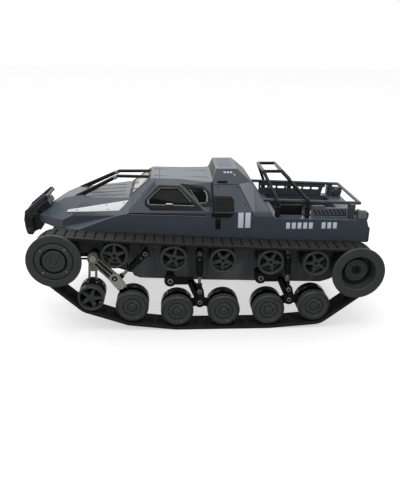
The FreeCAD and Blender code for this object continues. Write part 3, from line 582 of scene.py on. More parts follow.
# ---- suspension ----
# ARM and BEAM are the layers of y that the arms and the beams lie in; the pins start at PIN_ROOT.
ARM = (83.4, 87.2)
BEAM = (79.0, 83.0)
SHOCK_MID = 78.6
PIN_ROOT = 62
PIVOT = axle("front_arm_left_swing")
BOGIE_PIVOTS = [axle("bogie_arm_%d_left_swing" % n) for n in (1, 2)]
BEAM_PIVOTS = [axle("bogie_beam_%d_left_rock" % n) for n in (1, 2)]
SHOCK_TOPS = [axle("shock_%d_left_tilt" % n) for n in (1, 2, 3)]
CLAMP = (103.7, 62.2)
SHOCK_EYES = [CLAMP, (2.1, 46.7), (-110.3, 48.6)]


def along(start, end, distance, aside=0.0):
    length = math.dist(start, end)
    ux, uz = (end[0] - start[0]) / length, (end[1] - start[1]) / length
    return (start[0] + ux * distance - uz * aside, start[1] + uz * distance + ux * aside)


def bar(shape, start, end, aside, width, ys, ends=(0.0, 0.0), bevel=0.25):
    """A straight bar beside the line from start to end."""
    length = math.dist(start, end) - ends[1]
    outline = [along(start, end, run, aside + w) for run, w in (
        (ends[0], -width / 2), (length, -width / 2), (length, width / 2), (ends[0], width / 2))]
    return shape.prism(outline, ys[0], ys[1], bevel)


def ring(shape, centre, bore, radius, low, high, steps=36):
    """A round eye with chamfered edges."""
    return shape.turn(at(centre, 0), ACROSS, [
        (bore, low), (radius - 0.4, low), (radius, low + 0.4), (radius, high - 0.4),
        (radius - 0.4, high), (bore, high)], steps)


def ring_bolt(name, centres, y, radius, body):
    """A silver washer round a black socket screw."""
    washers, heads = Shape(), Shape()
    for centre in centres:
        ring(washers, centre, radius * 0.55, radius, y, y + 0.9, 28)
        heads.screw(at(centre, y - 0.1), radius * 0.62, 0.9)
    pair(name, washers, SILVER, body)
    pair(name + "_screws", heads, BLACK, body)


# The front arm carries the first road wheel, with a light clamp round its lower end.
knee = along(CLAMP, ROADS[0], 10.5)
core = Shape().strap(along(PIVOT, CLAMP, 6.2), CLAMP, 6.0, 6.0, ARM[0] + 0.1, 85.4, 0.4)
ring(core, PIVOT, 3.1, 6.6, ARM[0] + 0.1, 86.8)
pair("front_arm_core", core, BLACK, "front_arm_*")
arm = Shape()
ring(arm, PIVOT, 5.3, 7, *ARM)
for aside, width in ((0, 1.9), (5.0, 2.1), (-5.0, 2.1)):
    bar(arm, PIVOT, CLAMP, aside, width, (84.4, ARM[1]), (4.9 if aside else 6.6, 5), 0.4)
pair("front_arm", arm, ALLOY, "front_arm_*", node="front_arm_*")
clamp = Shape().strap(along(CLAMP, PIVOT, 5), along(CLAMP, ROADS[0], 8), 7.0, 6.2, ARM[0] + 0.1, 87.3, 0.8)
clamp.strap(along(CLAMP, PIVOT, 1), along(CLAMP, ROADS[0], 6), 5.4, 5.2, 87.0, 88.0, 0.5)
pair("front_arm_clamp", clamp, ALLOY_PALE, "front_arm_*")
head = Shape().screw(at(along(CLAMP, PIVOT, 5.5), 87.0), 3.6, 1.4)
pair("front_arm_bolt", head, BLACK, "front_arm_*")
lower = Shape()
lower.strap(knee, ROADS[0], 4.6, 6, BEAM[0], ARM[1], 0.5)
lower.pin(at(CLAMP, SHOCK_MID - 3), 1.6, 9)
pair("front_arm_fork", lower, BLACK, "front_arm_*")
collar = Shape()
for run in range(5):
    collar.turn(at(along(knee, ROADS[0], 3 + 1.4 * run), 0), ACROSS,
                [(0, 86.8), (4.9, 86.8), (5.2, 87.1), (4.9, 87.4), (0, 87.4)], 24)
pair("front_arm_collar", collar, BLACK, "front_arm_*")

# The tension arm is a worn two-pronged fork that ends in a black yoke.
fork = Shape()
ring(fork, PIVOT, 3.1, 7, *BEAM)
for aside in (4.1, -4.1):
    bar(fork, PIVOT, TIGHT, aside, 2.9, BEAM, (4.8, 12), 0.6)
fork.strap(along(PIVOT, TIGHT, 8), along(PIVOT, TIGHT, 13), 5.6, 5.2, 79.3, 82.6, 0.5)
pair("tension_arm", fork, ALLOY, "tension_arm_*", node="tension_arm_*")
yoke = Shape().strap(along(PIVOT, TIGHT, 33), TIGHT, 6.4, 5.6, 78.9, 83.3, 0.5)
ring(yoke, TIGHT, 2.55, 5.6, BEAM[0], ARM[1])
for start, end in ((5.4, 6.4), (-5.4, -6.4)):
    yoke.strap(along(PIVOT, TIGHT, 31, start), along(PIVOT, TIGHT, 40, end), 2.2, 1.8, 78.9, 85, 0.4)
pair("tension_yoke", yoke, BLACK, "tension_arm_*")
tips = Shape()
for aside in (5.4, -5.4):
    tips.screw(at(along(PIVOT, TIGHT, 31, aside), 84.9), 1.3, 0.8)
pair("tension_yoke_screws", tips, SILVER, "tension_arm_*")

for i in (0, 1):
    pivot, eye, beam_pivot = BOGIE_PIVOTS[i], SHOCK_EYES[i + 1], BEAM_PIVOTS[i]
    name = "bogie_arm_%d" % (i + 1)
    neck_end = (pivot[0] - 25, pivot[1] - 0.5)
    arm = Shape()
    ring(arm, pivot, 3.1, 7.5, BEAM[0], ARM[1])
    arm.strap(along(pivot, neck_end, 5), neck_end, 5.2, 4.8, ARM[0], 86.3, 0.4)
    for aside in (3.4, -3.4):
        bar(arm, pivot, neck_end, aside, 1.8, (86, ARM[1]), (5, 0), 0.35)
    arm.strap(neck_end, beam_pivot, 4.6, 4.2, ARM[0], 86.6, 0.5)
    bar(arm, neck_end, beam_pivot, 0, 2, (86.4, ARM[1]), (1, 7), 0.35)
    arm.strap(neck_end, eye, 3.4, 4, ARM[0], 86.6, 0.5)
    arm.strap(eye, beam_pivot, 5.2, 7, ARM[0], ARM[1], 0.6)
    arm.pin(at(eye, SHOCK_MID - 3), 1.6, 9)
    arm.pin(at(beam_pivot, BEAM[0] - 0.3), 3, 5)
    pair(name, arm, BLACK, name + "_*", node=name + "_*")
    ring_bolt(name + "_bolts", [eye, beam_pivot], ARM[1] - 0.1, 2.9, name + "_*")
    ring_bolt(name + "_boss", [pivot], ARM[1] + 0.5, 3.6, "root")
    name = "bogie_beam_%d" % (i + 1)
    beam = Shape()
    ring(beam, beam_pivot, 3.1, 7, *BEAM)
    for wheel in ROADS[2 * i + 1:2 * i + 3]:
        beam.strap(along(beam_pivot, wheel, 5.6), along(beam_pivot, wheel, math.dist(beam_pivot, wheel) - 4),
                   5.4, 4.6, BEAM[0], BEAM[1], 0.5)
        bar(beam, beam_pivot, wheel, 0, 3, (BEAM[1] - 0.2, BEAM[1] + 0.3), (8, 8), 0.2)
        ring(beam, wheel, 2.55, 5.6, BEAM[0], ARM[1])
    pair(name, beam, BLACK, name + "_*", node=name + "_*")

for number, (top, eye) in enumerate(zip(SHOCK_TOPS, SHOCK_EYES), 1):
    upper = Vector(at(top, SHOCK_MID))
    down = (Vector(at(eye, SHOCK_MID)) - upper).normalized()
    reach = math.dist(top, eye)
    name = "shock_body_%d" % number
    body = name + "_*"
    shape = Shape()
    ring(shape, top, 1.65, 4.8, SHOCK_MID - 3.2, SHOCK_MID + 3.2)
    shape.turn(upper, down, [(2.05, 11.5), (3.6, 8), (4.4, 8.4), (4.6, 9), (4.6, 12), (4.2, 12.5),
                             (4.2, 14), (4.6, 14.5), (4.6, 17), (4.2, 17.5), (4.2, 22), (4.6, 22.5),
                             (4.6, 25), (4.2, 25.5), (4.2, 27), (4.6, 27.5), (4.6, 30), (4.1, 31),
                             (2.05, 31)], 32)
    wide = down.cross(ACROSS) * 3.8
    corners = [upper + wide + down * 3, upper + wide + down * 13.5, upper - wide + down * 13.5,
               upper - wide + down * 3]
    shape.layers([[c + ACROSS * y for c in corners] for y in (-3.1, 3.1)], 0.5)
    pair(name, shape, BLACK, body, node=body)
    ring_bolt(name + "_bolt", [along(top, eye, 9.6)], SHOCK_MID + 3, 2.5, body)
    name = "shock_rod_%d" % number
    body = name + "_*"
    rod = Shape().turn(upper, down, [(0, 22.5), (2, 22.5), (2, reach - 7), (0, reach - 7)], 24)
    pair(name, rod, STEEL, body, node=body)
    outline = [(0, 8), (3, 8), (3.4, 7.6), (3.4, 3.4), (0, 3.4)]
    foot = Shape().turn(upper, down, [(radius, reach - short) for radius, short in outline], 28)
    ring(foot, eye, 2.2, 4.4, SHOCK_MID - 2.6, SHOCK_MID + 2.6)
    pair(name + "_foot", foot, BLACK, body)

pins = Shape()
pins.pin(at(FRONT, PIN_ROOT), 4, 35.5)
for centre in ROLLERS:
    pins.pin(at(centre, PIN_ROOT), 2, 34)
for top in SHOCK_TOPS:
    pins.pin(at(top, PIN_ROOT), 1.6, 20.2)
for pivot in [PIVOT] + BOGIE_PIVOTS:
    pins.pin(at(pivot, PIN_ROOT), 5.2, 16.7)
    pins.pin(at(pivot, PIN_ROOT), 3, 25.6)
pair("axle_pins", pins, BLACK, node="fixed_axles")
ring_bolt("shock_bolt", SHOCK_TOPS, 82.0, 2.9, "root")
cap = Shape()
ring(cap, PIVOT, 3.2, 4.6, 87.5, 88.3)
cap.pin(at(PIVOT, 87.5), 3.4, 1.4, 0.5)
pair("front_pivot_cap", cap, ALLOY_PALE)
for number, pivot in enumerate(BOGIE_PIVOTS, 1):
    cap = Shape()
    ring(cap, pivot, 3.2, 4.6, 87.4, 87.9)
    pair("bogie_pivot_cap_%d" % number, cap, BLACK)


# ---- hull ----
# Faces of the hull: a point, the outward direction and the two coordinates that place a mark.
LEAN = ((0, 66, 144.5), (0, 1, 0.66), "xz")
WALL = ((0, 66, 100), (0, 1, 0), "xz")
HOOD_SIDE = ((160, 26, 154.2), (0.177, 0.533, 0.827), "xz")
PILLAR = ((88.4, 42, 157.6), (0.498, 0.4225, 0.757), "xz")
HOOD = ((146, 0, 154.3), (0.0553, 0, 1), "xy")
SCREEN_FACE = ((90, 0, 157.4), (22.6, 0, 28.3), "yz")
ROOF = ((61.7, 0, 180), (-0.0366, 0, 1), "xy")
INTAKE_FRONT = ((-15, 0, 179), (13.1, 0, 4.6), "yz")
INTAKE_TOP = ((0, 0, 192.1), (0, 0, 1), "xy")
DECK = ((-91.6, 0, 136.2), (-4, 0, 117.4), "xy")
BACK_WALL = ((-212, 0, 100), (-1, 0, 0), "yz")
NOSE_FRONT = ((208, 0, 122), (1, 0, 0.08), "yz")


def on(plane, mark, out=0.0):
    """The point of a face that has the two given coordinates, moved outwards."""
    point, normal = Vector(plane[0]), Vector(plane[1]).normalized()
    place, rest = Vector(point), normal.dot(point)
    axes = ["xyz".index(letter) for letter in plane[2]]
    for axis, value in zip(axes, mark):
        place[axis] = value
        rest -= normal[axis] * value
    missing = 3 - sum(axes)
    place[missing] = rest / normal[missing]
    return place + normal * out


def flat(shape, plane, outline, raised=0.3, thick=1.0, bevel=0.15, grow=0.0):
    """A plate on a face of the hull: its top is raised above the face, its back is thick below it."""
    corners = [on(plane, mark) for mark in outline]
    return shape.plate(corners, Vector(plane[1]), thick + raised, raised, grow, bevel)


def line(shape, plane, marks, radius, out=0.0, bend=0.8):
    return shape.tube([on(plane, mark, out) for mark in marks], radius, bend, 8)


def frame_ring(shape, plane, outer, inner, low, high, bevel=0.3):
    """A closed ring between two outlines with equal numbers of corners."""
    mesh = bmesh.new()
    loops = [[mesh.verts.new(on(plane, mark, out)) for mark in outline]
             for outline, out in ((outer, low), (outer, high), (inner, high), (inner, low))]
    for first, second in zip(loops, loops[1:] + loops[:1]):
        for i in range(len(first)):
            mesh.faces.new((first[i - 1], first[i], second[i], second[i - 1]))
    return shape.take(mesh, bevel)


# Side windows
door_outer = [(69.7, 153.2), (69.1, 158.7), (52.1, 174.3), (27.1, 173.1), (-2.6, 146.3), (62.0, 147.3)]
door_inner = [(64.5, 152.6), (65.1, 158.1), (50.3, 170.3), (28.2, 170.3), (12.0, 154.2), (8.6, 151.2)]
rear_outer = [(24.9, 175.7), (-2.7, 172.5), (-10.4, 166.5), (-12.2, 158.9), (-11.2, 150.8), (0.2, 150.8)]
rear_inner = [(15.6, 171.1), (-3.8, 168.7), (-7.0, 165.6), (-8.0, 161.5), (-6.8, 154.1), (2.6, 154.1)]
glass, frames, trim = Shape(), Shape(), Shape()
for outer, inner in ((door_outer, door_inner), (rear_outer, rear_inner)):
    flat(glass, LEAN, inner, -0.6, 0.8, grow=1.2)
    frame_ring(frames, LEAN, outer, inner, -1.2, 0.9, 0.35)
for radius, out, bend, marks in (
        (0.55, 0.9, 0.8, [(8.6, 151.3), (63.8, 152.9)]),
        (0.9, 0.7, 0.8, [(64.8, 153.2), (65.3, 158.3)]),
        (0.35, 0.8, 0.8, [(65.3, 158.6), (50.4, 170.6), (28.2, 170.6), (12.6, 155.2)]),
        (0.9, 0.5, 2, [(-3.6, 168.4), (-6.6, 165.2), (-7.6, 161.2), (-6.6, 155.4)]),
        (0.5, 0.8, 0.8, [(-6.4, 154.3), (2.6, 154.3)]),
        (0.4, 0.7, 0.8, [(13.8, 169.3), (3.6, 156.0)]),
        (0.4, 0.7, 0.8, [(23.6, 173.3), (-5.6, 146.2)])):
    line(trim, LEAN, marks, radius, out, bend)
pair("side_glass", glass, GLASS, node="cab_windows")
pair("window_frames", frames, BLACK)
pair("window_trim", trim, SILVER)
handle = Shape().tube([on(LEAN, (x, z), out) for x, z, out in (
    (43.4, 153.0, 0.6), (42.4, 153.0, 1.6), (36.0, 152.8, 1.6), (35.0, 152.8, 0.6))], 1.35, 1.2, 16)
pair("window_handle", handle, STEEL)

# Windscreen, its glass painted pale as a painted reflection of the bright studio
screen_outer = [(39.6, 158.2), (31.4, 178.4), (-31.4, 178.4), (-39.6, 158.2)]
screen_inner = [(36.4, 160.6), (29.6, 176.6), (-29.6, 176.6), (-36.4, 160.6)]
put("windscreen", flat(Shape(), SCREEN_FACE, screen_inner, -0.3, 0.8, grow=1), WINDSCREEN_REFLECTION, node="cab_windows")
frame_piece = frame_ring(Shape(), SCREEN_FACE, screen_outer, screen_inner, -0.8, 0.7, 0.3)
for y in (-15, 18):
    line(frame_piece, SCREEN_FACE, [(y, 161.5), (y + 16, 166.5)], 0.5, 0.9)
    frame_piece.pin(on(SCREEN_FACE, (y, 159.6), 0.2), 1.3, 1.4, axis=SCREEN_FACE[1])
put("windscreen_frame", frame_piece, BLACK)

# Gaps round the doors and along the front pillar, and the sill line with a painted highlight strip below it
grooves = Shape()
flat(grooves, WALL, [(89, 144.6), (44.7, 142.9), (-5.5, 141.4), (-5.5, 140.1), (44.7, 141.6),
                     (88, 143.2)], 0.25)
line(grooves, PILLAR, [(88.7, 145.2), (75.3, 158.9), (56.6, 176.4)], 0.4)
line(grooves, PILLAR, [(74.2, 162.3), (55.6, 179.0)], 0.35)
line(grooves, LEAN, [(-12.9, 176.4), (-13.2, 160), (-10.8, 145)], 0.5)
flat(grooves, LEAN, [(-13.2, 144.9), (-15.4, 144.9), (-15.6, 177.0), (-13.1, 176.6)], 0.3)
flat(grooves, WALL, square(-15.2, -12.6, 138.2, 144.2), 0.3)
line(grooves, LEAN, [(-17, 174.6), (-46.4, 174.8)], 0.3)
line(grooves, LEAN, [(-46.6, 175.2), (-63.1, 144.9)], 0.3)
pair("panel_gaps", grooves, DARK_GAPS_AND_SHADE)
# A strip under the sill line, painted lighter than the side: painted highlight.
sill = flat(Shape(), WALL, [(88, 142.8), (44.7, 141.3), (-5.5, 139.8), (-5.5, 138.9), (88, 141.9)], 0.45)
pair("door_sill_highlight", sill, PAINT_HIGHLIGHT)

# Riveted panel on each side of the hood
panel = flat(Shape(), HOOD_SIDE, [(167.5, 139.9), (165.4, 142.0), (125.7, 148.9), (89.8, 155.2),
                                  (95.3, 149.9), (101.2, 145.2), (131.3, 142.6)], 0.5, 1.2, bevel=0.2)
pair("hood_panel", panel, BRIGHT)
rivets = Shape()
for mark in ((116.9, 149.2), (115.1, 145.4), (95.6, 152.6), (154.6, 142.4)):
    rivets.screw(on(HOOD_SIDE, mark, 0.4), 1.0, 0.6, HOOD_SIDE[1])
pair("hood_rivets", rivets, SILVER)

# Fine lines on the hood and the roof
lines = Shape()
for y in (-26, -9, 9, 26):
    line(lines, HOOD, [(143, y), (96, y)], 0.3)
for y in (-31, 31):
    line(lines, ROOF, [(59, y * 0.6), (-10, y * 0.6)], 0.35)
line(lines, ROOF, [(51.5, -30), (51.5, 30)], 0.35)
put("top_lines", lines, DARK_GAPS_AND_SHADE)

# Screws on the side, then latch, slots and lid of the intake box behind the cab
marks = Shape()
for x in (-21.8, -45.1):
    marks.screw(on(LEAN, (x, 171.8), -0.2), 1.0, 0.5, LEAN[1])
marks.screw(on(LEAN, (-55.1, 152.5), -0.2), 1.0, 0.5, LEAN[1])
marks.screw(on(WALL, (-65.1, 132.4), -0.2), 1.0, 0.5, WALL[1])
pair("side_screws", marks, BLACK)
latch = flat(Shape(), LEAN, square(-33.2, -20.2, 176.0, 178.9), 0.35, bevel=0.3)
latch.tube([on(LEAN, (x, 177.4), out) for x, out in (
    (-21.5, 0.3), (-23.5, 1.5), (-30.5, 1.5), (-32.5, 0.3))], 0.8, 1.2, 12)
pair("intake_latch", latch, BLACK)
slots = Shape()
for k in range(4):
    z = 181.2 + 2.6 * k
    flat(slots, INTAKE_FRONT, square(-30 + k, 30 - k, z, z + 1.3), 0.15, 0.6)
put("intake_slots", slots, DARK_GAPS_AND_SHADE)
lid = flat(Shape(), INTAKE_TOP, square(-42, -23, -26, 26), 0.0, 0.4, bevel=0.2)
for y in (-25.4, 25.4):
    line(lid, INTAKE_TOP, [(-42, y), (-23, y)], 0.3, -0.35)
for x in (-42, -23):
    line(lid, INTAKE_TOP, [(x, -25.4), (x, 25.4)], 0.3, -0.35)
put("intake_lid_line", lid, DARK_GAPS_AND_SHADE)

# Louvre and grille low on the side
louvre = Shape()
upper_box = [(-15.2, 144.9), (-40.3, 144.9), (-40.6, 157.8), (-37.0, 161.4), (-15.4, 161.8)]
lower_box = [(-15.2, 144.3), (-15.2, 139.4), (-17.0, 138.0), (-36.2, 138.2), (-40.2, 143.4)]
flat(louvre, LEAN, upper_box, 1.9, 1.8, bevel=0.5)
flat(louvre, WALL, lower_box, 1.9, 1.8, bevel=0.5)
pair("side_louvre_box", louvre, DARK_GAPS_AND_SHADE)
louvre = Shape()
for k in range(6):
    flat(louvre, LEAN, square(-37.6, -18, 146.3 + 2.4 * k, 147.4 + 2.4 * k), 2.5, 0.8, bevel=0.25)
for z in (140.4, 142.4):
    flat(louvre, WALL, square(-35.4, -18, z, z + 1.0), 2.5, 0.8, bevel=0.25)
pair("side_louvre", louvre, BLACK)
grille = flat(Shape(), WALL, square(-24.0, -17.6, 123, 136), 0.7, 1.0, bevel=0.3)
for k in range(5):
    flat(grille, WALL, square(-23.2, -18.4, 124.2 + 2.3 * k, 125.2 + 2.3 * k), 1.1, 0.6, bevel=0.2)
pair("side_grille", grille, BLACK)

# Facets behind the intake, painted lighter than the side because they catch more light: painted light
facet = flat(Shape(), LEAN, [(-47.6, 175.2), (-61.6, 177.0), (-64.0, 175.0), (-66.6, 171.8), (-66.8, 144.9),
                             (-63.4, 144.9)], 0.25, bevel=0.1)
flat(facet, WALL, [(-63.7, 144.2), (-66.8, 144.2), (-66.8, 139.0)], 0.25, bevel=0.1)
pair("rear_facet", facet, PAINT_HIGHLIGHT)
facet = flat(Shape(), LEAN, [(-67.2, 171.0), (-67.2, 144.9), (-85.0, 144.9)], 0.25, bevel=0.1)
flat(facet, WALL, [(-67.2, 144.2), (-67.2, 138.6), (-89.2, 138.6), (-85.6, 144.2)], 0.25, bevel=0.1)
pair("rear_facet_low", facet, PAINT_MID)

# Plain markings: print, with a slight glow in their finish that is painted light
blocks = Shape()
for x in (-45.8, -54.6):
    flat(blocks, WALL, square(x - 6.6, x, 124.2, 144.0), 0.12, 0.5, bevel=0.05)
for k in range(8):
    x = -106.4 - 7.2 * k - (9 if k > 4 else 0)
    flat(blocks, WALL, square(x - 4.8, x, 122.6, 130.6), 0.12, 0.5, bevel=0.05)
for k in range(3):
    flat(blocks, LEAN, square(-31.6 - 4.0 * k, -28.8 - 4.0 * k, 187.2, 188.9), 0.1, 0.4, bevel=0.03)
pair("markings", blocks, MARKING_WITH_GLOW)
spot = flat(Shape(), LEAN, [(-40.6, 187.6), (-44.2, 185.4), (-43.4, 183.6), (-41.2, 184.8)], 0.1, 0.4,
            bevel=0.03)
pair("small_mark", spot, LIME)

# Slots of the nose, then panel and fittings of the tail
nose = Shape()
for k in range(4):
    flat(nose, NOSE_FRONT, square(-14, 14, 105.4 + 3.2 * k, 107.0 + 3.2 * k), 0.3, 0.6)
put("nose_slots", nose, DARK_GAPS_AND_SHADE)
tail = flat(Shape(), BACK_WALL, square(-40, 40, 104, 121), 0.6, 0.8, bevel=0.4)
put("tail_panel", tail, PAINT_MID)
tail = flat(Shape(), BACK_WALL, square(-16, 16, 107, 112), 1.1, 0.6, bevel=0.3)
for side in (-1, 1):
    flat(tail, BACK_WALL, square(side * 46.0, side * 59.0, 105, 120), 1.2, 1.0, bevel=0.5)
    for z in (107, 111, 115):
        flat(tail, BACK_WALL, square(side * 48.0, side * 57.0, z, z + 2.4), 1.9, 0.7, bevel=0.3)
put("tail_fittings", tail, BLACK)
# Plates beside the tail in the highlight paint: painted highlight.
pair("tail_plates", Shape().box((-208.6, -197.6), (62.8, 63.6), (134.2, 142.8), 0.25), PAINT_HIGHLIGHT)
pair("tail_corner", Shape().box((-213.6, -211.0), (57.5, 66.4), (104.5, 123.0), 0.5), RACK)

# Load bed: a dark sheet over the floor as painted shade, a dark mesh on the floor in front, and on the left
# a hatched panel and a screen
put("bed_floor_painted_shade", Shape().box((-185.4, -98.8), (-48.4, 48.4), (123.4, 124.0), 0.2), DARK_GAPS_AND_SHADE)
mesh = Shape()
for k in range(13):
    x = -101.4 - 3.0 * k
    mesh.box((x - 1.0, x), (-44, 44), (127.2, 129.2), 0.3)
for k in range(30):
    y = -43.8 + 3.0 * k
    mesh.box((-138.4, -100.4), (y - 0.5, y + 0.5), (127.6, 128.8), 0.2)
mesh.box((-139.6, -99.2), (-45.2, 45.2), (125.2, 126.6), 0.4)
mesh.box((-139.8, -138.2), (-45.4, 45.4), (123.2, 129.6), 0.4)
put("bed_mesh", mesh, BLACK)
side_panel = Shape().prism([(-141.8, 133), (-187, 131), (-187, 143.6), (-158.4, 144.2), (-157.6, 147),
                            (-141.8, 147.2)], 46.6, 49.4, 0.35)
put("bed_side_panel", side_panel, PAINT_MID)
# Top edges of the hatched panel in the highlight paint: painted highlight.
edges = Shape()
edges.prism([(-142.4, 146.6), (-157.4, 146.5), (-157.4, 147.3), (-142.4, 147.5)], 46.8, 49.9, 0.2)
edges.prism([(-159, 143.6), (-186.6, 143.1), (-186.6, 143.9), (-159, 144.4)], 46.8, 49.9, 0.2)
put("bed_side_edge_highlights", edges, PAINT_HIGHLIGHT)
slots = Shape()
for k in range(8):
    x = -143.6 - 5.0 * k
    slots.prism([(x, 142.4), (x - 1.6, 142.4), (x - 6.0, 135.8), (x - 4.4, 135.8)], 49.1, 49.9, 0.1)
slots.prism([(-142.4, 135.2), (-186.4, 134.6), (-186.4, 133.8), (-142.4, 134.4)], 49.1, 49.8, 0.1)
slots.prism([(-185.4, 142.6), (-186.4, 142.6), (-186.4, 134.4), (-185.4, 134.4)], 49.1, 49.8, 0.1)
put("bed_side_slots", slots, DARK_GAPS_AND_SHADE)
screen = Shape().prism([(-101, 135.4), (-129, 134.4), (-129, 148.2), (-101, 148.8)], 46.6, 48.6, 0.3)
for k in range(9):
    screen.prism(square(-102 - 3 * k, -102.9 - 3 * k, 136, 148), 48.4, 49.3, 0.15)
for k in range(5):
    z = 137.2 + 2.4 * k
    screen.prism(square(-101.6, -128.4, z, z + 0.8), 48.4, 49.2, 0.15)
put("bed_screen", screen, BLACK)
# Lines along the deck edges in the highlight paint: painted highlight.
edge = Shape()
for y in (-51.2, 51.2):
    line(edge, DECK, [(-96, y), (-188, y)], 0.5, 0.1)
put("bed_edge_highlights", edge, PAINT_HIGHLIGHT)

# Sleeves and sheaths of the hood bars, then rings on the feet and the joints of the cage
bar_knee = Vector((105, 14.5, 178.2))
bar_foot = Vector((155, 22.8, 153.5))
sleeves = Shape()
sleeves.turn(bar_knee, bar_foot - bar_knee, [(2.0, 1.5), (2.5, 1.8), (2.5, 6.2), (2.0, 6.5)], 20)
pair("hood_bar_sleeves", sleeves, SILVER)
sheaths = Shape().tube([(108, 15.1, 177.4), (132, 19.1, 166.2), (158.5, 23.4, 154.0)], 2.0, 1)
pair("hood_bar_sheaths", sheaths, TUBE)
clips = Shape()
for x in (-96.0, -133.6):
    for z in (137.5, 142.5, 147.6):
        clips.turn((x, 58, z), UP, [(1, 0), (3.3, 0), (3.6, 0.3), (3.6, 1.3), (3.3, 1.6), (1, 1.6)], 24)
pair("cage_feet_rings", clips, BLACK)
bar_joints = Shape()
for x, y, z in ((-95.8, 58, 155.9), (-134, 58, 156.6)):
    bar_joints.turn((x, y, z - 3.4), UP, [(1.9, 0), (2.6, 0.3), (2.6, 1.7), (1.9, 2)], 20)
pair("cage_joint_rings", bar_joints, TUBE)

# Ribs of the guard on the nose and the edges of its blade: real parts, painted grey as painted highlight on
# the black guard
guard = Shape()
for drop, reach in ((0.0, 0.0), (3.4, 2.0), (6.8, 5.0)):
    guard.tube([(223.4 - drop * 0.7, 22.6, 130.4 - drop),
                (198.2 - drop * 0.4 + reach, 22.6, 152.6 - drop)], 0.7, 1, 8)
guard.tube([(224.6, 19.5, 132.2), (197.4, 19.5, 154.6)], 1.7, 1, 12)
pair("guard_ribs", guard, RACK)
blade = Shape()
blade.prism([(225.8, 129), (226.9, 121.8), (226.0, 110), (224.4, 104.4), (223.0, 104.6), (224.6, 110.6),
             (225.4, 121.6), (224.4, 128.6)], 14.0, 21.3, 0.3)
blade.prism([(219.0, 105.5), (222.4, 105), (223.6, 111), (220, 112)], 20.8, 21.6, 0.3)
pair("blade_edge_highlights", blade, WHEEL)

# Side bars of the lower hull and bolt heads along it
bars = Shape()
for z in (84.4, 89.6):
    bars.tube([(156, 61.5, z), (156, 64.5, z), (139, 64.5, z), (139, 61.5, z)], 1.3, 1.5, 12)
pair("hull_side_bars", bars, BLACK)
heads = Shape()
for x in (-150, -110, -78, -35, 0, 28, 75, 112):
    heads.screw((x, 61.9, 97.5 if x < 60 else 101), 1.7, 1.1)
pair("hull_bolts", heads, BLACK)

# CAD nodes that stay: rounded edges and finishes
KEPT = {"body_shell": (PAINT, 0.45), "chassis_tub": (TUB, 0.5), "front_bumper": (GUARD, 0.35),
        "tube_cage": (TUBE, 0.0), "cargo_rack": (RACK, 0.25), "drive_unit": (DRIVE, 0.5)}
for name, (material, radius) in KEPT.items():
    node = frame["nodes"][name]
    for slot_row in node.material_slots:
        slot_row.material = material
    if radius:
        weld = node.modifiers.new("weld", "WELD")
        weld.merge_threshold = 0.00002
        bevel = node.modifiers.new("bevel", "BEVEL")
        bevel.width = radius * MM
        bevel.segments = 2
        bevel.limit_method = "ANGLE"
        bevel.angle_limit = math.radians(28)
        bevel.use_clamp_overlap = True


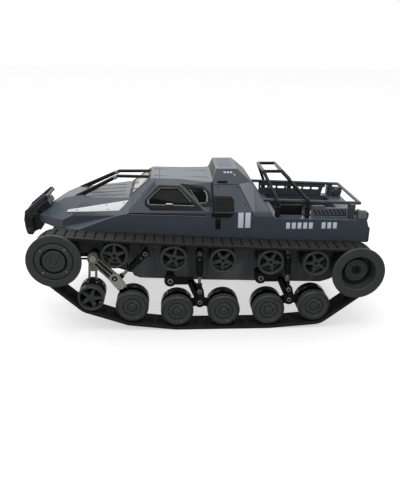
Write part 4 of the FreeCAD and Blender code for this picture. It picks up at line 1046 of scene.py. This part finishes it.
# ---- camera, light and floor ----
def look():
    """The photo's camera, as it was solved from points on the vehicle, and a bright studio."""
    scene = bpy.context.scene
    pitch, yaw, roll = (math.radians(angle) for angle in (20.860, 3.356, 0.677))
    turn = Matrix.Rotation(-yaw, 3, "Z")
    forward = turn @ Vector((0, -math.cos(pitch), -math.sin(pitch)))
    upward = turn @ Vector((0, -math.sin(pitch), math.cos(pitch)))
    right = turn @ Vector((-1, 0, 0))
    right, upward = (math.cos(roll) * right + math.sin(roll) * upward,
                     math.cos(roll) * upward - math.sin(roll) * right)
    data = bpy.data.cameras.new("camera")
    data.lens = 40.74
    data.clip_end = 50
    camera = bpy.data.objects.new("camera", data)
    camera.matrix_world = (Matrix.Translation(Vector((0.04024, 0.73125, 0.34907)))
                           @ Matrix((right, upward, -forward)).transposed().to_4x4())
    scene.collection.objects.link(camera)
    scene.camera = camera
    scene.view_settings.view_transform = "Standard"

    floor = bpy.data.meshes.new("floor")
    floor.from_pydata([(-6, -6, 0), (6, -6, 0), (6, 6, 0), (-6, 6, 0)], [], [(0, 1, 2, 3)])
    paint = finish("floor_paint", (214, 214, 214), 0.9, vary=0.01, grain=3)
    set_inputs(paint.node_tree.nodes["Principled BSDF"], Emission_Color=(1, 1, 1, 1), Emission_Strength=0.55)
    floor.materials.append(paint)
    ground = bpy.data.objects.new("floor", floor)
    ground.visible_diffuse = False
    ground.visible_glossy = False
    scene.collection.objects.link(ground)

    # The room's light falls off towards the viewer, the floor and the tail. The camera itself sees
    # a white backdrop.
    world = bpy.data.worlds.new("studio")
    world.use_nodes = True
    nodes, link = world.node_tree.nodes, world.node_tree.links.new
    coords = nodes.new("ShaderNodeTexCoord")
    split = nodes.new("ShaderNodeSeparateXYZ")
    link(coords.outputs["Generated"], split.inputs["Vector"])
    level = None
    for axis, start, end, low, high in (("Y", -0.6, 0.3, 0.95, 0.3), ("Z", -0.15, 0.1, 0.6, 1.0),
                                        ("X", -0.7, 0.7, 0.82, 1.25)):
        falloff = set_inputs(nodes.new("ShaderNodeMapRange"), From_Min=start, From_Max=end, To_Min=low,
                             To_Max=high)
        link(split.outputs[axis], falloff.inputs["Value"])
        share = falloff.outputs["Result"]
        if level is not None:
            product = nodes.new("ShaderNodeMath")
            product.operation = "MULTIPLY"
            link(level, product.inputs[0])
            link(share, product.inputs[1])
            share = product.outputs["Value"]
        level = share
    room = set_inputs(nodes["Background"], Color=(1, 1, 1, 1))
    link(level, room.inputs["Strength"])
    backdrop = set_inputs(nodes.new("ShaderNodeBackground"), Color=(1, 1, 1, 1))
    path = nodes.new("ShaderNodeLightPath")
    mix = nodes.new("ShaderNodeMixShader")
    link(path.outputs["Is Camera Ray"], mix.inputs["Fac"])
    link(room.outputs["Background"], mix.inputs[1])
    link(backdrop.outputs["Background"], mix.inputs[2])
    link(mix.outputs["Shader"], nodes["World Output"].inputs["Surface"])
    scene.world = world
    for name, place, size, power in (("key", (0.1, -1.5, 1.2), 2.2, 5), ("top", (0.3, 0.3, 1.9), 2.0, 13.5),
                                    ("spark", (-0.7, 1.5, 1.3), 0.15, 3)):
        light = bpy.data.lights.new(name, "AREA")
        light.shape = "DISK"
        light.size = size
        light.energy = power
        lamp = bpy.data.objects.new(name, light)
        lamp.location = place
        lamp.rotation_euler = (Vector((0, 0, 0.1)) - lamp.location).to_track_quat("-Z", "Y").to_euler()
        scene.collection.objects.link(lamp)


look()
